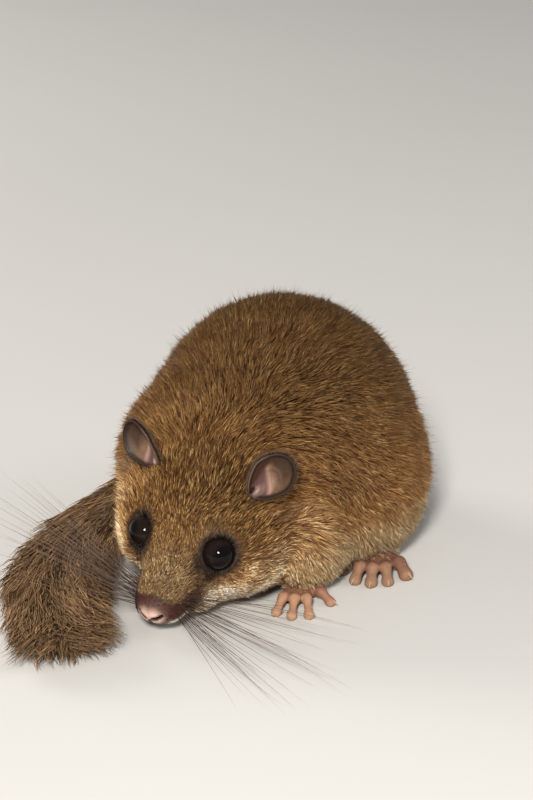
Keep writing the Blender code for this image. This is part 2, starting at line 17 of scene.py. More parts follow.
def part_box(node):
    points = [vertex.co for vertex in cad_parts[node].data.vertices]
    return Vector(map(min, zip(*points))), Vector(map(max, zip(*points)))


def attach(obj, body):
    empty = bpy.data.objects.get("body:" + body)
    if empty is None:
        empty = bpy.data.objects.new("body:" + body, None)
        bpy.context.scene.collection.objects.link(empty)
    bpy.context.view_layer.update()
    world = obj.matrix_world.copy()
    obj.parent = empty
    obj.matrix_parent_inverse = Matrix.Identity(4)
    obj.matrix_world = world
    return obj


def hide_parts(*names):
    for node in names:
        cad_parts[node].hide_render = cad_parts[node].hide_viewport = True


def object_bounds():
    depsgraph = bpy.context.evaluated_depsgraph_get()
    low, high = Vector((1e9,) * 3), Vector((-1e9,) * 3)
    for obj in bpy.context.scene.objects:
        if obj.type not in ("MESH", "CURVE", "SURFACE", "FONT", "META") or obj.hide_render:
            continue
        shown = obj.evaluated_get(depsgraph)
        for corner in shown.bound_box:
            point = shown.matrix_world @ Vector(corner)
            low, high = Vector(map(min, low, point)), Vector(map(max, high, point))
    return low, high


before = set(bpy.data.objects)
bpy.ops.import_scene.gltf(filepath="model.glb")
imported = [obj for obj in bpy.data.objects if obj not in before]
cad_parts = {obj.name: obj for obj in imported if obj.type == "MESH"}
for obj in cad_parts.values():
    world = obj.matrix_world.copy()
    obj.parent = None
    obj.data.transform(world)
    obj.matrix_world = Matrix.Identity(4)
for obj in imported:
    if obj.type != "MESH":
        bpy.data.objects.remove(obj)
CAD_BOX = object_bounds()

bl_info = {
    "name": "Edible dormouse looks",
    "version": (1, 0, 0),
    "blender": (4, 5, 0),
    "location": "View3D > Sidebar > Dormouse",
    "description": "Skin, coat, eyes, ears, claws, whiskers and tail of a crouching edible dormouse",
    "category": "Object",
}

MM = 0.001

# The head, measured from the tip of its nose: x to its left, y to its back, z to its crown.
NOSE = (-5.8, -58.4, 6.0)
HEAD_YAW = -4.5
HEAD_PITCH = 33.0
HEAD_ROLL = -7.7
EYE_PLACE = (9.7, 19.0, 3.4)
EYE_AXIS = (0.84, -0.36, 0.40)
EAR_LENGTH = 13.0
EAR_WIDTH = 9.8
EARS = {  # the root, the way to the tip, and the way that the cup faces
    "left": ((13.8, 32.0, 10.0), (7.1, 10.0, 6.0), (0.45, -0.60, 0.66)),
    "right": ((-12.4, 32.0, 9.6), (-9.0, 6.6, 5.6), (-0.35, -0.80, 0.48)),
}

SOFT_BODY = 3.6
SOFT_HEAD = 1.5
SOFT_TOE = 0.55
SOFT_FLOOR = 1.2
BELLY_CLEARANCE = 0.8
BODY_CENTRE = (-3.0, 4.0, 24.0)
FLOOR_REST = 0.12  # the lowest that any hair reaches

WRISTS = {"left": (16.9, -24.5), "right": (-14.0, -29.5)}
HAND_TURN = {"left": 22.0, "right": -10.0}
HEELS = {"left": (27.5, -4.5), "right": (-17.5, -2.0)}
FOOT_TURN = {"left": 18.0, "right": -5.0}
PAW_SUNK = 0.25

TAIL_HALF_WIDTH = 16.5
TAIL_HALF_HEIGHT = 7.2
TAIL_STEPS = 60
TAIL_ROUTE = (
    (-1.0, 33.0, 10.5),
    (-14.0, 40.5, 8.0),
    (-29.0, 37.0, 6.8),
    (-38.0, 24.0, 6.8),
    (-41.0, 6.0, 6.8),
    (-41.5, -12.0, 6.8),
    (-40.5, -30.0, 6.8),
    (-36.5, -47.0, 6.7),
    (-29.0, -62.5, 6.3),
    (-18.5, -76.0, 5.6),
)

# Colours of the hair at its tips
BACK = (0.196, 0.099, 0.029)
CROWN = (0.29, 0.150, 0.044)
FLANK = (0.55, 0.285, 0.098)
BELLY = (0.70, 0.50, 0.27)
SHOULDER = (0.205, 0.104, 0.040)
FOREARM = (0.74, 0.52, 0.28)
CHEEK = (0.33, 0.160, 0.048)
# Pale cheek fur; on the right cheek's outline it also stands for painted rim light glowing through the
# hair
CHEEK_EDGE_AND_PAINTED_GLOW = (0.92, 0.60, 0.29)
CREAM = (1.0, 0.80, 0.54)
BRIDGE = (0.36, 0.190, 0.062)
MUZZLE = (0.35, 0.225, 0.100)
WHISKER_PAD = (0.135, 0.062, 0.038)
EYE_RING = (0.055, 0.026, 0.014)
EAR_PATCH = (0.20, 0.15, 0.11)
EAR_HAIR = (0.095, 0.055, 0.032)
PAW_HAIR = (0.52, 0.37, 0.25)
TAIL_BROWN = (0.16, 0.090, 0.042)
TAIL_TIPS = (0.28, 0.175, 0.092)
WHISKER_ROOT = (0.035, 0.02, 0.014)
WHISKER_TIP = (0.20, 0.13, 0.09)
WARMTH = (0.0, 0.30, 0.70)  # dark hairs are redder, light ones are yellower

# Colours of bare skin, eyes and claws
NOSE_PINK = (0.56, 0.38, 0.32)
NOSE_WINE = (0.052, 0.017, 0.012)
LIP_WHITE = (0.80, 0.70, 0.60)
LID_GREY = (0.012, 0.0075, 0.006)
PAW_PINK = (0.205, 0.092, 0.060)
PAW_TIP = (0.36, 0.200, 0.122)
WRIST_TAN = (0.25, 0.14, 0.08)
TAIL_PINK = (0.42, 0.25, 0.18)
EAR_CUP = (0.155, 0.085, 0.050)
# painted shade in the hollow beside the ear's inner ridge
EAR_HOLLOW_SHADE = (0.090, 0.044, 0.038)
EAR_FRONT = (0.050, 0.021, 0.015)
EAR_TOP = (0.048, 0.026, 0.015)
EAR_SIDE = (0.105, 0.060, 0.034)
EAR_RIDGE = (0.27, 0.160, 0.125)
EAR_ARCH = (0.10, 0.056, 0.042)
EAR_RIM = (0.022, 0.012, 0.009)
EAR_FLAP = (0.28, 0.195, 0.155)
# painted shadow in the opening of the ear
EAR_CANAL_SHADOW = (0.012, 0.006, 0.005)
# painted highlight on the edge of the ear's rim
EAR_RIM_HIGHLIGHT = (0.11, 0.07, 0.045)
EAR_BACK = (0.045, 0.026, 0.018)
EAR_BASE = (0.12, 0.07, 0.045)
IRIS = (0.010, 0.006, 0.005)
PUPIL = (0.0025, 0.002, 0.002)
CLAW_ROOT = (0.36, 0.21, 0.15)
CLAW_TIP = (0.40, 0.30, 0.21)


def turned(degrees, axis):
    return np.array(Matrix.Rotation(math.radians(degrees), 3, axis))


HEAD_TURN = turned(HEAD_YAW, "Z") @ turned(HEAD_PITCH, "X") @ turned(HEAD_ROLL, "Y").T


def on_head(place):
    """A point of the head, given from the tip of its nose, in the animal's own frame."""
    return np.array(NOSE) + HEAD_TURN @ np.array(place, float)


def to_head(points):
    """Points of the animal's frame, measured from the tip of the nose."""
    return (points - np.array(NOSE)) @ HEAD_TURN


def paired_head(points):
    """Points measured from the tip of the nose, with both sides of the head laid together."""
    head = to_head(points)
    return np.stack([np.abs(head[:, 0]), head[:, 1], head[:, 2]], axis=1)


def eye_place(side):
    x, y, z = EYE_PLACE
    return on_head((side * x, y, z))


def eye_axis(side):
    x, y, z = EYE_AXIS
    axis = HEAD_TURN @ np.array((side * x, y, z))
    return axis / np.linalg.norm(axis)


def frame_shift():
    """How far the animal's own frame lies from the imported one, in millimetres."""
    low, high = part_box("eye_left")
    return eye_place(1) - (np.array(low) + np.array(high)) / (2 * MM)


SHIFT = frame_shift()


def to_row(points):
    return (np.asarray(points) - SHIFT) * MM


def from_row(points):
    return np.asarray(points) / MM + SHIFT


def smooth(value, start, end):
    """0 before start and 1 after end, with a smooth step between."""
    share = np.clip((value - start) / (end - start), 0, 1)
    return share * share * (3 - 2 * share)


def near(points, centre, radii):
    """1 at the centre, fading out about one radius away."""
    out = (points - np.array(centre, float)) / np.array(radii, float)
    return np.exp(-np.sum(out * out, axis=1))


def near_line(points, start, end, radius):
    """1 on the line between two points, fading out about one radius away."""
    start, end = np.array(start, float), np.array(end, float)
    along = end - start
    share = np.clip((points - start) @ along / (along @ along), 0, 1)
    out = np.linalg.norm(points - start - share[:, None] * along, axis=1)
    return np.exp(-((out / radius) ** 2))


def unit(vectors):
    return vectors / np.maximum(np.linalg.norm(vectors, axis=-1, keepdims=True), 1e-9)


class Ripple:
    """Smooth noise, about -1 to 1, made of waves of about one length in all directions."""

    waves = 9

    def __init__(self, seed, length):
        chance = np.random.default_rng(seed)
        heading = unit(chance.normal(size=(self.waves, 3)))
        self.pull = heading * (2 * math.pi / length) * chance.uniform(0.6, 1.5, (self.waves, 1))
        self.start = chance.uniform(0, 2 * math.pi, self.waves)

    def at(self, points):
        return np.sin(points @ self.pull.T + self.start).sum(axis=1) / math.sqrt(self.waves / 2)


# Forms: each gives the distance of points to its surface, negative inside


class Egg:
    """An ellipsoid, turned by a rotation matrix."""

    def __init__(self, centre, radii, turn=None):
        self.centre = np.array(centre, float)
        self.radii = np.array(radii, float)
        self.turn = np.eye(3) if turn is None else turn

    def distance(self, points):
        local = (points - self.centre) @ self.turn / self.radii
        scale = np.linalg.norm(local, axis=1)
        slope = np.maximum(np.linalg.norm(local / self.radii, axis=1), 1e-9)
        return scale * (scale - 1) / slope

    def add_to(self, mesh, shrink=0.0, whole=Matrix.Identity(4)):
        place = whole @ Matrix.Translation(self.centre) @ Matrix(self.turn).to_4x4()
        radii = np.maximum(self.radii - shrink, 0.5)
        whole_place = place @ Matrix.Diagonal((*radii, 1))
        bmesh.ops.create_icosphere(mesh, subdivisions=4, radius=1, matrix=whole_place)


class Rod:
    """A round bar that tapers between two round ends."""

    def __init__(self, start, end, start_radius, end_radius):
        self.start = np.array(start, float)
        self.along = np.array(end, float) - self.start
        self.radii = (start_radius, end_radius)

    def distance(self, points):
        out = points - self.start
        share = np.clip(out @ self.along / (self.along @ self.along), 0, 1)
        radius = self.radii[0] + share * (self.radii[1] - self.radii[0])
        return np.linalg.norm(out - share[:, None] * self.along, axis=1) - radius

    def add_to(self, mesh, shrink=0.0, whole=Matrix.Identity(4)):
        steps = 5
        for step in range(steps + 1):
            share = step / steps
            radius = max(self.radii[0] + share * (self.radii[1] - self.radii[0]) - shrink, 0.4)
            place = Matrix.Translation(self.start + share * self.along)
            bmesh.ops.create_icosphere(mesh, subdivisions=2, radius=radius, matrix=whole @ place)


class Ring:
    """A round ring, such as the rim of the lids."""

    def __init__(self, centre, axis, ring_radius, radius):
        self.centre = np.array(centre, float)
        self.axis = np.array(axis, float) / np.linalg.norm(axis)
        self.ring_radius = ring_radius
        self.radius = radius

    def distance(self, points):
        out = points - self.centre
        high = out @ self.axis
        wide = np.linalg.norm(out - high[:, None] * self.axis, axis=1) - self.ring_radius
        return np.hypot(wide, high) - self.radius


def flow(distances, soft):
    """The union of forms, flowing into each other over about soft."""
    stack = np.stack(distances)
    least = stack.min(axis=0)
    return least - soft * np.log(np.exp((least - stack) / soft).sum(axis=0))


def cut_softly(distance, cutter, soft):
    """What is left outside the cutter, with a rounded edge."""
    return -flow([-distance, cutter], soft)


def head_egg(place, radii):
    return Egg(on_head(place), radii, HEAD_TURN)


def both_sides(place):
    x, y, z = place
    return ((x, y, z), (-x, y, z))


BODY_FORMS = (
    Egg((-1.6, 6.2, 28.9), (33.0, 31.6, 33.2)),
    Egg((-9.7, -12.5, 25.5), (27.1, 19.6, 22.0)),
    Egg((-6.0, -27.0, 20.0), (19.0, 13.0, 15.0)),
    Egg((21.8, 3.0, 18.5), (14.1, 20.0, 18.7)),
    Egg((-20.5, 6.0, 15.5), (14.5, 20.0, 16.0)),
    Egg((-1.0, 26.0, 17.0), (17.0, 12.5, 15.0)),
    Egg((18.0, -21.0, 11.0), (7.5, 9.5, 10.0)),
    Egg((-15.5, -24.0, 11.0), (7.5, 9.5, 10.0)),
    Egg((-2.0, -30.0, 9.5), (13.0, 10.0, 8.0)),
)

HEAD_FORMS = (
    head_egg((0, 30.9, 2.6), (13.2, 13.0, 10.6)),
    head_egg((0, 20.4, 0.9), (8.9, 12.4, 7.7)),
    head_egg((0, 11.0, -0.2), (5.1, 9.6, 4.6)),
    head_egg((0, 4.3, 0.0), (3.2, 4.1, 3.0)),
    *(head_egg(place, (7.7, 11.4, 8.2)) for place in both_sides((11.6, 26.6, -4.1))),
    *(head_egg(place, (3.3, 4.9, 3.5)) for place in both_sides((5.2, 13.5, -7.9))),
    *(head_egg(place, (3.4, 6.0, 3.4)) for place in both_sides((2.9, 7.9, -2.2))),
    head_egg((0, 12.5, -6.0), (4.2, 9.0, 3.2)),
    head_egg((0, 27.4, -8.0), (8.4, 12.0, 5.5)),
)
NOSE_PAD = head_egg((0, 2.0, 0.3), (2.7, 2.3, 2.3))


def mouth_route(side):
    """The line of the mouth on one side, from under the nose to its corner."""
    places = ((0.0, 0.9, -3.1), (2.9, 2.2, -4.9), (5.0, 5.6, -5.6), (6.0, 9.5, -5.2), (6.6, 12.5, -4.4))
    return [on_head((side * x, y, z)) for x, y, z in places]


def face_cuts():
    """Narrow grooves: the mouth, the cleft under the nose, and the nostrils."""
    cuts = []
    for side in (1, -1):
        route = mouth_route(side)
        cuts += [Rod(a, b, 0.42, 0.42) for a, b in zip(route, route[1:])]
        cuts.append(Rod(on_head((side * 1.2, -0.5, 0.2)), on_head((side * 2.7, 0.9, 0.7)), 0.62, 0.42))
    cuts.append(Rod(on_head((0, -0.8, -0.4)), on_head((0, 0.4, -3.3)), 0.36, 0.42))
    return cuts


FACE_CUTS = face_cuts()
LID_HEIGHT = 1.05
LID_RADIUS = 3.92
LID_THICK = 0.5
EYE_RADIUS = 3.8
LIDS = [
    Ring(eye_place(side) + LID_HEIGHT * eye_axis(side), eye_axis(side), LID_RADIUS, LID_THICK)
    for side in (1, -1)
]


def toe_pad(root, heading, length, radius):
    """A toe's direction along the floor, and the middle of its pad."""
    angle = math.radians(heading)
    direction = np.array((math.sin(angle), -math.cos(angle), 0))
    pad = np.array(root, float) + direction * length
    pad[2] = radius * 0.9
    return direction, pad


def toe_forms(toes, lift):
    """Toes that arch up from their roots and come down on their pads."""
    forms = []
    for root, heading, length, radius in toes:
        direction, pad = toe_pad(root, heading, length, radius)
        knuckle = np.array(root, float) + direction * length * 0.5 + np.array((0, 0, lift))
        forms.append(Rod(root, knuckle, radius * 1.05, radius * 0.86))
        forms.append(Rod(knuckle, pad, radius * 0.88, radius * 0.82))
        radii = (radius * 0.98, radius * 1.15, radius * 0.98)
        forms.append(Egg(pad - np.array((0, 0, 0.12)), radii))
    return forms


def claw_lines(toes):
    """Root, direction and toe radius of the claw on each toe, in the paw's own frame."""
    lines = []
    for root, heading, length, radius in toes:
        direction, pad = toe_pad(root, heading, length, radius)
        start = pad + direction * radius * 0.85 + np.array((0, 0, radius * 0.5))
        lines.append((start, direction, radius))
    return lines


HAND_TOES = [
    ((x, -1.6, 1.8), heading, length, 1.0)
    for x, heading, length in ((-2.7, -17, 9.2), (-0.9, -4, 10.8), (1.0, 8, 10.4), (2.8, 50, 5.8))
]
FOOT_TOES = [
    ((-4.2, 0.4, 2.1), -36, 5.6, 1.2),
    ((-2.4, -2.2, 2.1), -14, 7.1, 1.22),
    ((0.0, -2.8, 2.1), -1, 7.5, 1.22),
    ((2.4, -2.3, 2.1), 12, 7.1, 1.22),
    ((4.3, -0.3, 2.1), 34, 6.5, 1.5),
]


def hand_forms():
    palm = [Egg((0, 0.5, 1.7), (3.7, 3.8, 2.0)), Rod((0, 2.5, 2.3), (0, 7.5, 6.0), 2.2, 2.6)]
    return palm + toe_forms(HAND_TOES, 0.9)


def foot_forms():
    sole = [
        Egg((0, 0.5, 2.0), (5.0, 4.2, 2.3)),
        Egg((0, 8.0, 2.1), (3.9, 9.0, 2.5)),
        Rod((0.3, 13.5, 2.4), (0.5, 12.0, 7.0), 2.6, 3.2),
    ]
    return sole + toe_forms(FOOT_TOES, 1.1)


PAW_REACH = 19.5  # no part of a paw lies farther from its middle


class Paw:
    """A hand or foot, set flat on the floor: its forms are in its own frame."""

    def __init__(self, forms, toes, place, turn, mirrored, shade):
        self.forms = forms
        self.toes = toes
        self.shade = shade
        self.place = np.array((*place, -PAW_SUNK))
        self.turn = turned(turn, "Z") @ np.diag((-1.0 if mirrored else 1.0, 1.0, 1.0))

    def local(self, points):
        return (points - self.place) @ self.turn

    def world(self, points):
        return self.place + np.asarray(points) @ self.turn.T

    def distance(self, points):
        local = self.local(points)
        far = np.linalg.norm(local - np.array((0, 2.0, 3.0)), axis=1) - PAW_REACH
        found = np.maximum(far, 0) + 3.0
        close = far < 0
        if close.any():
            found[close] = flow([form.distance(local[close]) for form in self.forms], SOFT_TOE)
        return found

    def add_to(self, mesh):
        place = Matrix.Translation(self.place) @ Matrix(self.turn).to_4x4()
        for form in self.forms:
            form.add_to(mesh, whole=place)


PAWS = [
    Paw(forms(), toes, places[side], turns[side], side == "right", shade)
    for forms, toes, places, turns, shade in (
        (hand_forms, HAND_TOES, WRISTS, HAND_TURN, 1.0),
        (foot_forms, FOOT_TOES, HEELS, FOOT_TURN, 0.69),
    )
    for side in ("left", "right")
]


def from_eyes(points):
    """Distance to the middle of the nearer eye."""
    return np.minimum(*(np.linalg.norm(points - eye_place(side), axis=1) for side in (1, -1)))


def from_middle(points):
    """How far points lie to the left of the body's middle."""
    return points[:, 0] - BODY_CENTRE[0]


def coat_depth(points, body_depth):
    """How far the skin lies under the tips of the coat."""
    back = to_head(points)[:, 1]
    depth = np.interp(back, (2, 5, 9, 14, 20, 28, 40), (0.05, 0.3, 0.45, 0.65, 1.1, 1.8, body_depth))
    depth = np.minimum(depth, np.interp(points[:, 2], (0, 4, 12), (0.9, 1.5, body_depth)))
    return depth * (0.25 + 0.75 * smooth(from_eyes(points), 4.2, 9.0))


def body_field(points):
    """The coat's outline of trunk, neck and head."""
    head = flow([form.distance(points) for form in HEAD_FORMS], SOFT_HEAD)
    body = flow([form.distance(points) for form in BODY_FORMS], SOFT_BODY)
    return flow([head, body], SOFT_BODY)


def lid_distance(points):
    return np.minimum.reduce([lid.distance(points) for lid in LIDS])


def paw_field(points):
    return np.minimum.reduce([paw.distance(points) for paw in PAWS])


def head_share(points):
    """1 on the head, 0 on the body and limbs."""
    head = np.minimum.reduce([form.distance(points) for form in HEAD_FORMS])
    body = np.minimum.reduce([form.distance(points) for form in BODY_FORMS])
    return smooth(body - head, -1.5, 3.0) * (1 - smooth(to_head(points)[:, 1], 34, 48))


def skin_field(points, body_depth):
    """The skin under the coat, with nose, lids, mouth, nostrils and paws."""
    skin = body_field(points) + coat_depth(points, body_depth)
    skin = cut_softly(skin, points[:, 2] - BELLY_CLEARANCE, SOFT_FLOOR)
    skin = flow([skin, NOSE_PAD.distance(points)], 0.5)
    skin = flow([skin] + [lid.distance(points) for lid in LIDS], 0.4)
    for cut in FACE_CUTS:
        skin = cut_softly(skin, cut.distance(points), 0.18)
    for side in (1, -1):
        ball = Egg(eye_place(side), (EYE_RADIUS + 0.03,) * 3)
        skin = cut_softly(skin, ball.distance(points), 0.12)
    return flow([skin, paw_field(points)], 0.7)


# Meshes


def new_object(name, data):
    shape = bpy.data.objects.new(name, data)
    bpy.context.scene.collection.objects.link(shape)
    return shape


def from_bmesh(name, mesh):
    data = bpy.data.meshes.new(name)
    bmesh.ops.recalc_face_normals(mesh, faces=mesh.faces)
    mesh.to_mesh(data)
    mesh.free()
    return new_object(name, data)


def apply_modifiers(shape):
    graph = bpy.context.evaluated_depsgraph_get()
    made = bpy.data.meshes.new_from_object(shape.evaluated_get(graph))
    old = shape.data
    shape.modifiers.clear()
    shape.data = made
    bpy.data.meshes.remove(old)


def positions(shape, what="co"):
    points = np.empty(len(shape.data.vertices) * 3)
    shape.data.vertices.foreach_get(what, points)
    return points.reshape(-1, 3)


def set_positions(shape, points):
    shape.data.vertices.foreach_set("co", np.ascontiguousarray(points).ravel())
    shape.data.update()


def edges_of(shape):
    edges = np.empty(len(shape.data.edges) * 2, int)
    shape.data.edges.foreach_get("vertices", edges)
    return edges.reshape(-1, 2)


def evened(points, edges):
    """Each point moved half way to the middle of its neighbours."""
    total = np.zeros_like(points)
    count = np.bincount(edges.ravel(), minlength=len(points))
    for k in range(3):
        total[:, k] = np.bincount(edges[:, 0], points[edges[:, 1], k], len(points))
        total[:, k] += np.bincount(edges[:, 1], points[edges[:, 0], k], len(points))
    return 0.5 * points + 0.5 * total / count[:, None]


def settled(points, field):
    """Points moved along the field's slope onto its surface, a little way at a time."""
    step, longest = 0.06, 1.2
    value = field(points)
    slope = np.stack([(field(points + step * axis) - value) / step for axis in np.eye(3)], axis=1)
    length = np.maximum(np.linalg.norm(slope, axis=1), 0.3)
    move = np.clip(value / length, -longest, longest)
    return points - (move / length)[:, None] * slope


COLOUR_LAYER = "colour"


def set_colours(mesh, colours):
    """Stores one colour for each vertex, where the materials find it."""
    full = np.ones((len(mesh.vertices), 4), np.float32)
    full[:, :3] = np.clip(colours, 0, 1)
    layer = mesh.color_attributes.new(COLOUR_LAYER, "FLOAT_COLOR", "POINT")
    layer.data.foreach_set("color", full.ravel())


def finish_piece(shape, material, nodes=()):
    """Gives a piece its material and the solids that it stands for."""
    shape.data.materials.clear()
    shape.data.materials.append(material)
    shape.data.shade_smooth()
    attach(shape, "root")
    if nodes:
        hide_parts(*nodes)
    return shape


# Materials


class Wire:
    """A node's output, with arithmetic that adds Math nodes."""

    def __init__(self, graph, socket):
        self.graph = graph
        self.socket = socket

    def maths(self, operation, other):
        return self.graph.node("ShaderNodeMath", {"operation": operation}, {0: self, 1: other})

    def __add__(self, other):
        return self.maths("ADD", other)

    def __mul__(self, other):
        return self.maths("MULTIPLY", other)

    __radd__ = __add__
    __rmul__ = __mul__


class Graph:
    """The nodes of one material."""

    def __init__(self, name):
        self.material = bpy.data.materials.new(name)
        self.material.use_nodes = True
        self.tree = self.material.node_tree
        self.tree.nodes.clear()
        self.shader = self.tree.nodes.new("ShaderNodeBsdfPrincipled")
        out = self.tree.nodes.new("ShaderNodeOutputMaterial")
        self.tree.links.new(self.shader.outputs[0], out.inputs[0])

    def put(self, node, values):
        for key, value in values.items():
            if isinstance(value, Wire):
                self.tree.links.new(value.socket, node.inputs[key])
            else:
                node.inputs[key].default_value = value

    def node(self, kind, settings, values, output=0):
        """A node of that kind, with its settings made first and its sockets filled."""
        made = self.tree.nodes.new(kind)
        for key, value in settings.items():
            setattr(made, key, value)
        self.put(made, values)
        return Wire(self, made.outputs[output])

    def surface(self, **values):
        self.put(self.shader, {key.replace("_", " "): value for key, value in values.items()})
        return self.material

    def place(self):
        return self.node("ShaderNodeTexCoord", {}, {}, "Object")

    def noise(self, scale, detail=2.0, roughness=0.5):
        values = {"Vector": self.place(), "Scale": scale, "Detail": detail, "Roughness": roughness}
        return self.node("ShaderNodeTexNoise", {}, values, "Fac")

    def cells(self, scale):
        values = {"Vector": self.place(), "Scale": scale}
        return self.node("ShaderNodeTexVoronoi", {}, values, "Distance")

    def own_colour(self, share):
        """The colours stored on the mesh, made darker or lighter by a number around 1."""
        colour = self.node("ShaderNodeAttribute", {"attribute_name": COLOUR_LAYER}, {}, "Color")
        grey = self.node("ShaderNodeCombineXYZ", {}, {"X": share, "Y": share, "Z": share})
        return self.node("ShaderNodeVectorMath", {"operation": "MULTIPLY"}, {0: colour, 1: grey})

    def bump(self, height, strength, distance):
        values = {"Height": height, "Strength": strength, "Distance": distance}
        return self.node("ShaderNodeBump", {}, values)


def coat_material(name):
    """Hair, slightly uneven in tone and sheen."""
    graph = Graph(name)
    colour = graph.own_colour(0.85 + 0.3 * graph.noise(900.0))
    roughness = 0.42 + 0.2 * graph.noise(400.0)
    return graph.surface(Base_Color=colour, Roughness=roughness, Specular_IOR_Level=0.35)


def skin_material(name, grain, depth, roughness, subsurface=0.0):
    """Skin with fine creases, in the colours stored on its mesh."""
    graph = Graph(name)
    height = graph.cells(grain) + 0.6 * graph.noise(grain * 2.2, 3.0)
    surface = graph.surface(
        Base_Color=graph.own_colour(0.75 + 0.5 * graph.noise(grain * 0.3, 4.0)),
        Roughness=(roughness - 0.1) + 0.2 * graph.noise(grain * 0.5),
        Normal=graph.bump(height, 0.6, depth),
        Specular_IOR_Level=0.22,
    )
    if subsurface:
        reach = (1.0, 0.35, 0.2)
        graph.surface(Subsurface_Weight=subsurface, Subsurface_Radius=reach, Subsurface_Scale=0.0012)
    return surface


def eye_material():
    """A wet, nearly black eye with a very dark brown iris round the pupil."""
    graph = Graph("eye_wet")
    colour = graph.own_colour(0.7 + 0.6 * graph.noise(1500.0, 3.0))
    return graph.surface(Base_Color=colour, Roughness=0.03, Specular_IOR_Level=0.17)


def claw_material():
    """Smooth horn with a faint grain."""
    graph = Graph("claw_horn")
    colour = graph.own_colour(0.85 + 0.3 * graph.noise(700.0, 3.0))
    bump = graph.bump(graph.noise(2500.0), 0.3, 0.0001)
    return graph.surface(Base_Color=colour, Roughness=0.42, Normal=bump)


def floor_material():
    graph = Graph("floor_pale")
    shade = 0.52 + 0.03 * graph.noise(6.0, 3.0)
    grey = graph.node("ShaderNodeCombineXYZ", {}, {"X": shade, "Y": shade * 0.99, "Z": shade * 0.965})
    return graph.surface(Base_Color=grey, Roughness=0.75, Specular_IOR_Level=0.2)


# Markings, the same on the skin and on the coat


def mixed(base, colour, share):
    """A colour laid over the base, which is one colour or one for each point."""
    base = np.array(base)
    return base + np.array(share)[:, None] * (np.array(colour) - base)


def layered(colour, *layers):
    """A colour with others laid over it in turn, each with its share at every point."""
    for tint, share in layers:
        colour = mixed(colour, tint, share)
    return colour


def markings(points):
    """The colour of the coat's tips at points of the animal."""
    head, paired = to_head(points), paired_head(points)
    side, back, up = paired.T
    height = points[:, 2]
    share = head_share(points)
    belly_line = 8.5 + 7.0 * smooth(np.abs(from_middle(points)), 19, 31)
    jaw = near(paired, (8.6, 12.6, -7.6), (3.2, 4.6, 3.2))
    jaw = np.maximum(jaw, near(paired, (11.6, 15.6, -5.2), (2.8, 3.0, 2.2)))
    ring = 1.1 * near(paired, (6.8, 13.8, 4.6), (2.0, 3.2, 2.8))
    ring += 1.1 * near(paired, (8.8, 12.8, 0.6), (2.3, 3.2, 1.8))
    ring += smooth(from_eyes(points), 5.6, 4.6)
    pad = near_line(paired, (5.2, 4.2, -0.6), (7.8, 9.0, -1.2), 2.5)
    return layered(
        BACK,
        (FLANK, 0.95 * smooth(height, 50, 18)),
        (CROWN, share),
        (CHEEK, share * smooth(up, 8, -3) * smooth(side, 6, 12)),
        (BRIDGE, share * smooth(back, 27, 19) * smooth(side, 8, 4)),
        (MUZZLE, smooth(back, 17, 10)),
        (BELLY, smooth(height, belly_line + 6.5, belly_line - 5.0) * (1 - share)),
        (CREAM, 0.85 * share * smooth(up, -5.5, -9.0)),
        (CREAM, np.clip(1.5 * jaw, 0, 1)),
        (CHEEK_EDGE_AND_PAINTED_GLOW, 0.6 * near_line(paired, (12.5, 16.0, -3.6), (16.5, 19.5, -1.0), 2.4)),
        (FOREARM, 0.9 * near_line(points, (15.0, -35.0, 9.5), (24.0, -28.0, 10.5), 6.0)),
        (FOREARM, 0.55 * near(points, (21.0, -26.0, 21.5), (6.0, 6.0, 4.0))),
        (SHOULDER, 0.55 * near(points, (24.0, -15.0, 27.0), (8.0, 9.0, 7.0))),
        # Partly pale fur, partly painted rim light: only the right cheek's outline, lighter as if lit
        # from behind
        (CHEEK_EDGE_AND_PAINTED_GLOW, 0.65 * near_line(head, (-16.5, 18.0, -3.0), (-20.0, 32.0, 0.0), 4.0)),
        (EAR_PATCH, 0.7 * near(paired, (19.4, 35.5, 1.8), (2.6, 3.2, 2.6))),
        (EYE_RING, np.clip(ring, 0, 1)),
        (WHISKER_PAD, np.clip(1.2 * pad, 0, 1)),
        (NOSE_WINE, wine_share(paired)),
        (LIP_WHITE, lip_share(paired)),
    )


def wine_share(paired):
    """1 on the dark, nearly bare skin beside and above the nose."""
    edge = 4.3 - 0.36 * paired[:, 2] + 0.5 * np.sin(1.9 * paired[:, 2] + 1.3 * paired[:, 0])
    band = 1 - smooth(paired[:, 1] - edge, -0.7, 0.9)
    beside = near_line(paired, (4.4, 2.4, -2.4), (6.9, 6.2, -3.0), 1.7)
    return np.maximum(band, np.clip(1.6 * beside, 0, 1))


def lit(tone, light):
    """A hair's colour made lighter or darker, with the change of hue that goes with it."""
    return tone * light[:, None] * np.clip(light, 0.15, 2.2)[:, None] ** np.array(WARMTH)


def lip_share(paired):
    """1 on the pale edge of the upper lip."""
    edge = near_line(paired, (4.3, 1.5, -2.75), (6.4, 4.9, -3.25), 0.75)
    return np.clip(2.0 * edge, 0, 1)


def pink_share(paired):
    """1 on the pale, bare tip of the nose."""
    return np.clip(1.7 * near(paired, (1.0, -0.3, 0.3), (2.1, 1.6, 2.3)), 0, 1)


def bare_colours(points, colour):
    """Adds nose, lips, painted shade in the face's grooves, lids and paws to the colours of the skin.
    """
    paired = paired_head(points)
    colour = mixed(colour, NOSE_WINE, wine_share(paired))
    colour = mixed(colour, NOSE_PINK, pink_share(paired))
    colour = mixed(colour, LIP_WHITE, lip_share(paired))
    # Painted shade in the grooves of the mouth, the cleft under the nose and the nostrils
    for cut in FACE_CUTS:
        colour = mixed(colour, 0.3 * np.array(NOSE_WINE), smooth(cut.distance(points), 0.25, 0.0))
    colour = mixed(colour, LID_GREY, smooth(lid_distance(points), 1.2, 0.4))
    for paw in PAWS:
        forward = paw.local(points)[:, 1]
        pink = mixed(PAW_PINK, PAW_TIP, smooth(forward, -3, -9))
        pink = mixed(pink, WRIST_TAN, smooth(forward, 1, 5)) * paw.shade
        colour = mixed(colour, pink, smooth(paw.distance(points), 0.9, 0.3))
    return colour


